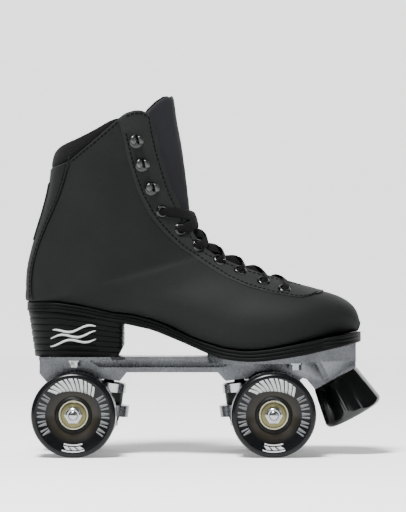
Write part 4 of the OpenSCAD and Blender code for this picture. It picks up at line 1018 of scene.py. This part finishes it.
def stitchRow(lines):
    # One capsule a stitch: a six-sided spindle along the seam, flattened onto the leather
    ends = np.array([0, 0.12, 0.5, 0.88, 1.0]) - 0.5
    girth = np.array([0.35, 0.85, 1.0, 0.85, 0.35])
    turn = np.linspace(0, 2 * np.pi, 6, endpoint=False)
    spindle = len(ends) * len(turn)
    allPoints, faces, used = [], [], 0
    for s, angle, lift in lines:
        surface = bootPoint(s, angle, -lift)
        normals = bootNormal(s, angle)
        even, along = evenPoints(surface, thread["pitch"])
        length = arcLengths(surface, 0)
        at = np.arange(thread["pitch"] / 2, length[-1], thread["pitch"])
        out = np.stack([np.interp(at, length, normals[:, k]) for k in range(3)], -1)
        out /= np.linalg.norm(out, axis=1)[:, None]
        side = np.cross(along, out)
        r = thread["width"] / 2
        section = (np.cos(turn)[None, None, :, None] * side[:, None, None]
                   + np.sin(turn)[None, None, :, None] * 0.7 * out[:, None, None])
        ring = (ends[None, :, None, None] * thread["stitch"] * along[:, None, None]
                + girth[None, :, None, None] * r * section)
        points = even[:, None, None] + ring
        count = len(even)
        index = used + np.arange(count * spindle).reshape(count, len(ends), len(turn))
        turned = np.roll(index, -1, 2)
        quads = np.stack([index[:, :-1], turned[:, :-1], turned[:, 1:], index[:, 1:]], -1).reshape(-1, 4)
        faces += quads.tolist() + index[:, 0, ::-1].tolist() + index[:, -1].tolist()
        allPoints.append(points.reshape(-1, 3))
        used += count * spindle
    return meshObject("stitching", np.concatenate(allPoints) * mm, faces)


# How far each seam lies from its edge in millimetres, and the least half width that turns it into an angle
seam = {"sewnEdge": 1.9 / 36 * 38, "throatEdge": 2.4, "topEdge": 2.2, "narrowest": 20}


def seamLines():
    # Rows of stitches as ring, angle and height over the leather: two along each facing, one under the
    # leather's top edge, and one beside each edge of the back strip
    overlayLift = boot["overlay"]
    width = seam["narrowest"]
    lines = []
    for side in (lateral, medial):
        s = np.linspace(0.95, 17.1, 500)
        inset = seam["sewnEdge"] * perRadian / np.maximum(ringAt(s)[:, 4], width)
        lines.append((s, side * (facingAngle(s) - inset), overlayLift))
        # The front row turns the corner and runs on under the top edge to the facing's sewn edge
        s = np.linspace(1.15, 15.9, 450)
        inset = seam["throatEdge"] / np.maximum(ringAt(s)[:, 4], width) * perRadian + 1.5
        edge = np.linspace(facingAngle(np.array(0.9)) - 3, throatAngle(np.array(1.15)) + inset[0], 90)
        turned = np.concatenate([leatherStart(side * edge) + seam["throatEdge"] / 16, s])
        edge = np.concatenate([edge, throatAngle(s) + inset])
        smooth = [np.convolve(np.pad(row, 4, mode="edge"), np.ones(9) / 9, "valid") for row in (turned, edge)]
        lines.append((smooth[0], side * smooth[1], overlayLift))
        s = stripRings[8:]
        lines.append((s, side * (stripEdge[8:] + 3.2), overlayLift))
        edge = np.linspace(lookup(1.0, stripEdgeTable) - 2, facingAngle(np.array(1.0)) + 3, 160)
        lines.append((leatherStart(side * edge) + seam["topEdge"] / 20, side * edge, 0.0))
    return lines


def threadMaterial():
    # Bonded nylon thread, waxed dull so that a stitch reads darker than the leather round it
    material = mouldedMaterial("bondedThread", "#010101", "#050505", (0.75, 0.9), 0.5, 0.02, 4)
    material.node_tree.nodes["Principled BSDF"].inputs["Specular IOR Level"].default_value = 0.1
    return material


stripEdgeTable = np.stack([stripRings, stripEdge], -1)
stitching = stitchRow(seamLines())
finish(stitching, rootBody, threadMaterial())
print("seams stitched")

laceShape = {"width": 7.8, "thick": 1.0, "points": 70, "sides": 14, "start": 2.0}


def placeOnBoot(x, z):
    s = ringOf(x, z)
    return s, angleOf(s, x, z)


eyeletRing, eyeletAngle = placeOnBoot(*np.array(eyeletPlaces, float).T)
hookRing, hookAngle = placeOnBoot(*np.array(hookPlaces, float).T)


def crossing(i, j, side, clear):
    # Route of a lace out of eyelet i, over the facing and its edge, down onto the tongue, and under the other
    # facing to eyelet j, as ring, angle, height over the leather and distance from the eyelet's middle. It
    # fills the eyelet's bore, climbs over its crown, and clear lifts it where it crosses its partner.
    t = np.linspace(0, 1, laceShape["points"])
    s = eyeletRing[i] + (eyeletRing[j] - eyeletRing[i]) * step01(t) + 0.12 * np.sin(np.pi * t)
    begin = eyeletAngle[i] + laceShape["start"] / ringAt(eyeletRing[i])[4] * perRadian
    way = begin + (-eyeletAngle[j] - begin) * t ** 1.15
    open_ = np.maximum(throatAngle(s), 6)
    # Heights over the facing, at its edge, in the middle of the throat and under the other facing
    marks = [(-1.3, -5.4), (-0.95, -5.2), (-0.3, clear - 1.3), (0.3, clear - 0.7), (0.85, 1.0), (1.1, 1.5),
             (1.5, 1.5)]
    height = np.interp(way / open_, [m[0] for m in marks], [m[1] for m in marks])
    soft = np.convolve(np.pad(height, 2, mode="edge"), np.ones(5) / 5, "valid")
    flat = bootPoint(s, side * way)
    away = arcLengths(flat, 0) - laceShape["start"]
    lift = np.interp(away, [-2, 0, 1.6, 3.3, 5.2, 8.5], [-0.6, -0.5, 0.2, 0.95, 0.55, 0])
    return s, side * way, soft + lift, away


def laceRibbon(s, angle, height, away):
    # Flat braid carried along the route: a superellipse section, |x|^4 + |y|^2 = 1, wide across the route
    points = bootPoint(s, angle, -height)
    along = np.gradient(points, axis=0)
    along /= np.linalg.norm(along, axis=1)[:, None]
    out = bootPoint(s, angle, -height - 1) - points
    across = np.cross(out, along)
    across /= np.linalg.norm(across, axis=1)[:, None]
    up = np.cross(along, across)
    turn = np.linspace(0, 2 * np.pi, laceShape["sides"], endpoint=False)
    wide = np.sign(np.cos(turn)) * np.abs(np.cos(turn)) ** 0.5 * laceShape["width"] / 2
    high = np.sin(turn) * laceShape["thick"] / 2
    # It is gathered to a rounder bundle in the eyelet's bore
    spread = step01((away - 1.8) / 3.4)
    gather = (0.6 + 0.4 * spread)[:, None, None]
    thicker = (1.7 - 0.7 * spread)[:, None, None]
    grid = (points[:, None] + gather * wide[None, :, None] * across[:, None]
            + thicker * high[None, :, None] * up[:, None])
    length = arcLengths(points, 0)
    uv = np.stack(np.broadcast_arrays(wide[None], length[:, None]), -1)
    return grid, uv


def lacePiece():
    last = len(eyeletPlaces) - 1
    routes = [crossing(i, i - 1, medial, -0.3) for i in range(1, last + 1)]
    routes += [crossing(i, i - 1, lateral, 0.85) for i in range(1, last + 1)]
    routes += [crossing(0, 1, medial, -0.3), crossing(0, 1, lateral, 0.85)]
    ribbons = [loopSkin("lace", *laceRibbon(*route)) for route in routes]
    return finish(joined("lace", ribbons), rootBody, materials["lace_cord"], ["lace"])


def joined(name, pieces):
    # Several meshes as one object: points and faces laid end to end, with their UV maps where they have them
    bm = bmesh.new()
    for piece in pieces:
        bm.from_mesh(piece.data)
    for piece in pieces[1:]:
        bpy.data.objects.remove(piece)
    first = pieces[0]
    bm.to_mesh(first.data)
    bm.free()
    first.name = name
    return first


lacePiece()


def onBoot(s, angle, points):
    # Carries a fitting's own points onto the boot: x runs towards the front along the ring, y up the boot, z
    # outwards
    here = bootPoint(s, angle)
    out = bootNormal(s, angle)
    down = bootPoint(s + 0.05, angle) - here
    up = -(down - out * np.dot(down, out))
    up /= np.linalg.norm(up)
    ahead = np.cross(up, out) * (1 if angle < 0 else -1)
    return here + points[..., :1] * ahead + points[..., 1:2] * up + points[..., 2:] * out


def ringSkin(name, grid):
    # Skin over rings of points in millimetres whose last ring is joined to the first, so it needs no pole
    rows, n = grid.shape[:2]
    index = np.arange(rows * n).reshape(rows, n)
    index = np.concatenate([index, index[:1]])
    turned = np.roll(index, -1, 1)
    quads = np.stack([index[:-1], turned[:-1], turned[1:], index[1:]], -1).reshape(-1, 4).tolist()
    return tidyMesh(meshObject(name, grid * mm, quads))


def lathe(profile, sides=40):
    # Profile of radius and height turned round z
    turn = np.linspace(0, 2 * np.pi, sides, endpoint=False)
    r, h = np.array(profile, float).T
    return np.stack(np.broadcast_arrays(r[:, None] * np.cos(turn), r[:, None] * np.sin(turn), h[:, None]), -1)


def eyeletRow(name, side, node):
    # Rolled flange eyelet: the profile goes down the barrel, over the crown and back under the flange
    roll = np.linspace(0, np.pi, 12)
    crown = [(3.55 - 1.0 * np.cos(a), 1.15 + 0.75 * np.sin(a)) for a in roll[1:]]
    profile = [(2.5, -4.7), (2.5, -1), (2.55, 1.15)] + crown
    profile += [(4.9, 1.0), (4.95, 0.75), (4.6, 0.6), (3.0, 0.6), (3.0, -4.6)]
    parts = [ringSkin(name, onBoot(s, side * a, lathe(profile))) for s, a in zip(eyeletRing, eyeletAngle)]
    finish(joined(name, parts), rootBody, materials["eyelet_metal"], [node], sharp=60)


def hookRow(name, side, node):
    # Speed hook: a round base, a teardrop head behind and a curled lip in front, with a gap between for the
    # lace
    parts, bases = [], []
    turn = np.linspace(0, 2 * np.pi, 28, endpoint=False)
    rise = np.linspace(0, np.pi / 2, 9)
    for s, a in zip(hookRing, hookAngle):
        base = lathe([(0.01, 0.9), (4.4, 0.9), (4.9, 1.15), (5.0, 1.5), (4.7, 1.9), (3.6, 2.1), (0.01, 2.1)])
        bases.append(loopSkin(name, onBoot(s, side * a, base + np.array([0.2, -0.9, 0]))))
        # Teardrop dome: an ellipse whose width shrinks towards its lower end, carried up by a quarter circle
        shrink = 1 - 0.28 * np.clip(-np.sin(turn), 0, 1)
        outline = np.stack([2.75 * np.cos(turn) * shrink, 3.5 * np.sin(turn), 0 * turn], -1)
        dome = np.stack([outline * np.cos(r) ** 0.7 + [0, 0, 4.0 + 1.7 * np.sin(r)] for r in rise[:-1]]
                        + [outline * 0.04 + [0, 0, 5.7]])
        neck = np.stack([outline * k + [0, 0, h] for k, h in ((0.55, 1.8), (0.55, 3.2), (0.95, 3.6))])
        head = np.concatenate([neck, dome]) + np.array([-2.6, 0.1, 0])
        parts.append(loopSkin(name, onBoot(s, side * a, head)))
        # Lip: a strip with a round section that leans outwards and curls over at the top
        t = np.linspace(-1, 1, 15)
        path = np.stack([2.2 + 0.75 * (1 - t ** 2) - 0.8 * t, 3.3 * t,
                         4.1 + 1.3 * np.sqrt(1 - 0.92 * t ** 2)], -1)
        wide = 1.75 * np.sqrt(1 - 0.9 * t ** 4)
        section = np.stack([np.cos(turn[::2]), 0 * turn[::2], 0.55 * np.sin(turn[::2])], -1)
        lip = path[:, None] + wide[:, None, None] * section[None]
        parts.append(loopSkin(name, onBoot(s, side * a, lip)))
        stem = lathe([(0.01, 1.8), (1.3, 1.8), (1.3, 4.4), (0.01, 4.4)], 16) + np.array([2.2, 0, 0])
        parts.append(loopSkin(name, onBoot(s, side * a, stem)))
    finish(joined(name, parts), rootBody, materials["hook_metal"], [node], sharp=50)
    finish(joined(name + "Bases", bases), rootBody, materials["eyelet_metal"], sharp=50)


for side, word in ((lateral, "lateral"), (medial, "medial")):
    eyeletRow("eyelets" + word.title(), side, "eyelets_" + word)
    hookRow("hooks" + word.title(), side, "hooks_" + word)
print("laces, eyelets and hooks made")


def refined(node, material, bevel=0.0, sharp=30):
    # A copy of a CAD node with its doubles joined, smooth shaded between sharp edges, and its edges rounded
    # by a bevel in millimetres; it rides and stands for its node
    source = frame["nodes"][node]
    copy = bpy.data.objects.new(node + "Finished", source.data.copy())
    bpy.context.scene.collection.objects.link(copy)
    bm = bmesh.new()
    bm.from_mesh(copy.data)
    bmesh.ops.remove_doubles(bm, verts=bm.verts, dist=2e-6)
    if bevel:
        bmesh.ops.dissolve_limit(bm, angle_limit=np.radians(0.6), verts=bm.verts, edges=bm.edges)
    bm.to_mesh(copy.data)
    bm.free()
    copy.data.shade_smooth()
    finish(copy, source["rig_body"], material, [node], sharp=sharp)
    if bevel:
        rounding = copy.modifiers.new("rounding", "BEVEL")
        rounding.width = bevel * mm
        rounding.segments = 2
        rounding.limit_method = "ANGLE"
        rounding.angle_limit = np.radians(sharp)
        rounding.harden_normals = True
    return copy


slotOf = {part["node"]: part["material_slot"] for part in frame["record"]["subparts"]}
bevels = {"mounting_nuts": 0.35, "plate": 0.5, "truck_rear": 0.4, "truck_front": 0.4, "toe_stop": 0.5}
made = {"upper", "lining", "facing", "backstay", "pull_tab", "collar_padding", "tongue", "tongue_lining",
        "outsole", "insole", "heel_block", "lace", "eyelets_lateral", "eyelets_medial", "hooks_lateral",
        "hooks_medial"}
made |= {node for node in frame["nodes"] if node.startswith("outer_races")}
for node in sorted(set(frame["nodes"]) - made):
    refined(node, materials[slotOf[node]], bevels.get(node, 0.0),
            14 if "axle_nuts" in node else 30)

# Marks on a wheel's face, each a patch between two angles and two radii, with a lean in degrees from its
# inner to its outer end and a taper, the width of its outer end as a part of its inner end's
greyMarks, whiteMarks = [], []
for middle in (180, 0):
    for k in range(-2, 3):
        at = middle + 15.5 * k
        greyMarks.append((at - 5.6, at - 2.6, 20.4, 26.4, 0, 1))
        greyMarks.append((at - 1.4, at + 5.6, 20.4, 26.4, 0, 0.3))
for k in range(-5, 6):
    tall = 1.5 * np.cos(np.radians(16 * k))
    at = 90 + 8 * k
    whiteMarks.append((at - 3.4, at + 3.4, 20 - 1.6 * tall, 25.5 + 1.0 * tall, 9, 0.6 if k % 2 else 1))
whiteMarks += [(252, 288, 21.2, 22.2, 0, 1), (252, 288, 26.0, 27.0, 0, 1)]
whiteMarks += [(270 + 11 * k - 4.2, 270 + 11 * k + 4.2, 23.0, 25.3, 6, 1) for k in (-1, 0, 1)]


def facePoint(angle, radius, lift):
    # Point on a wheel's outer face, from the wheel's middle: x forward, y outwards, z up
    w = wheel["width"] / 2
    y = np.interp(radius, [13.5, 19, 27, 28], [11.4, w - 2.2, w - 0.2, w]) + lift
    return np.stack([radius * np.cos(angle), y, radius * np.sin(angle)], -1)


def wheelCentre(end, side):
    return np.array([wheel[end + "X"], side * wheel["y"], wheel["axleZ"]])


def wheelPrint(name, end, word, side, marks, material):
    # Pad-printed marks: closed patches 0.05 mm proud of the wheel's face, in generic shapes
    parts = []
    for start, stop, inner, outer, lean, taper in marks:
        a = np.radians(np.linspace(start, stop, max(3, int(abs(stop - start) / 2))))[None]
        middle = np.radians(start + stop) / 2
        r = np.linspace(inner, outer, 7)[:, None]
        way = (r - inner) / (outer - inner)
        turned = middle + (a - middle) * (1 + (taper - 1) * way) + np.radians(lean) * (way - 0.5)
        radius = np.broadcast_to(r, turned.shape)
        top, foot = facePoint(turned, radius, 0.05), facePoint(turned, radius, -0.1)
        grids = [wheelCentre(end, side) + grid * [1, side, 1] for grid in (top, foot)]
        parts.append(shell(name, *grids))
    finish(joined(name, parts), f"wheel_{end}_{word}", material)


def bearingPieces(end, word, side):
    # Two bearings a wheel: a turned outer race with chamfered edges, and a pressed shield with a rolled rim
    # and a step near its bore on each face. Profiles of radius and place across the wheel, turned round the
    # axle.
    centre = wheelCentre(end, side)
    races, shields = [], []
    for start in (-11.5, 3.5):
        stop = start + 7
        race = [(9.3, start + 0.25), (9.6, start), (10.7, start), (11.0, start + 0.35), (11.0, stop - 0.35),
                (10.7, stop), (9.6, stop), (9.3, stop - 0.25), (8.7, stop - 1.0), (8.7, start + 1.0)]
        races.append(closedLathe("outerRaces", race, centre, side))
        for face, inward in ((start, 1), (stop, -1)):
            shield = [(9.28, 0.55), (9.1, 0.28), (8.75, 0.22), (8.5, 0.5), (7.5, 0.46), (7.2, 0.3),
                      (6.3, 0.3), (6.14, 0.42), (6.14, 0.75), (7.4, 0.8), (8.8, 0.85), (9.28, 0.8)]
            shields.append(closedLathe("shields", [(r, face + inward * d) for r, d in shield], centre, side))
    body = f"wheel_{end}_{word}"
    finish(joined(f"outerRaces_{end}_{word}", races), body, materials["bearing_steel"],
           [f"outer_races_{end}_{word}"], sharp=25)
    finish(joined(f"shields_{end}_{word}", shields), body, materials["bearing_shield"],
           sharp=25)


def closedLathe(name, profile, centre, side, sides=72):
    # Closed profile of radius and place across the wheel, turned round a wheel's axle
    r, y = np.array(profile, float).T
    turn = np.linspace(0, 2 * np.pi, sides, endpoint=False)
    grid = np.stack(np.broadcast_arrays(r[:, None] * np.cos(turn), side * y[:, None],
                                        r[:, None] * np.sin(turn)), -1)
    return ringSkin(name, grid + centre)


greyInk = mouldedMaterial("greyPadPrint", "#515355", "#626466", (0.4, 0.55), 0.6, 0.01, 4)
whiteInk = mouldedMaterial("whitePadPrint", "#9fa0a1", "#b9baba", (0.4, 0.55), 0.6, 0.01, 4)
for end in ("rear", "front"):
    for word, side in (("lateral", lateral), ("medial", medial)):
        bearingPieces(end, word, side)
        wheelPrint(f"greyPrint_{end}_{word}", end, word, side, greyMarks, greyInk)
        wheelPrint(f"whitePrint_{end}_{word}", end, word, side, whiteMarks, whiteInk)


def heelBadge():
    # Three wavy bars on each side of the heel, a generic flourish: z = height + 0.12 (x + 96) + 1.6 sin of x
    x = np.linspace(-113, -79, 60)
    for side, word in ((lateral, "Lateral"), (medial, "Medial")):
        parts = []
        for k, height in enumerate((84.0, 88.5, 93.0)):
            z = height + 0.12 * (x + 96) + 1.6 * np.sin((x + 6 * k) / 4.2)
            t = np.clip((z - sole["floorZ"]) / (lookup(x, soleFootCurve) - sole["floorZ"]), 0, 1)
            half = heel["half"] + heel["halfFlare"] * t
            reach = np.clip((heel["middle"] - x) / 28.5, 0, 1)
            y = half * (1 - reach ** (2 / heel["squareness"])) ** (heel["squareness"] / 2)
            bar = np.stack([x, side * (y + 0.12), z], -1)
            wide = 0.85 * np.sqrt(np.clip(1 - np.linspace(-1, 1, 60) ** 4, 0.02, 1))
            turn = np.linspace(0, 2 * np.pi, 8, endpoint=False)
            ring = np.stack([0 * turn, 0.35 * np.cos(turn), np.sin(turn)], -1)
            parts.append(loopSkin("heelBadge" + word, bar[:, None] + wide[:, None, None] * ring[None]))
        finish(joined("heelBadge" + word, parts), rootBody, whiteInk)


heelBadge()
print("metal, wheels and prints made")
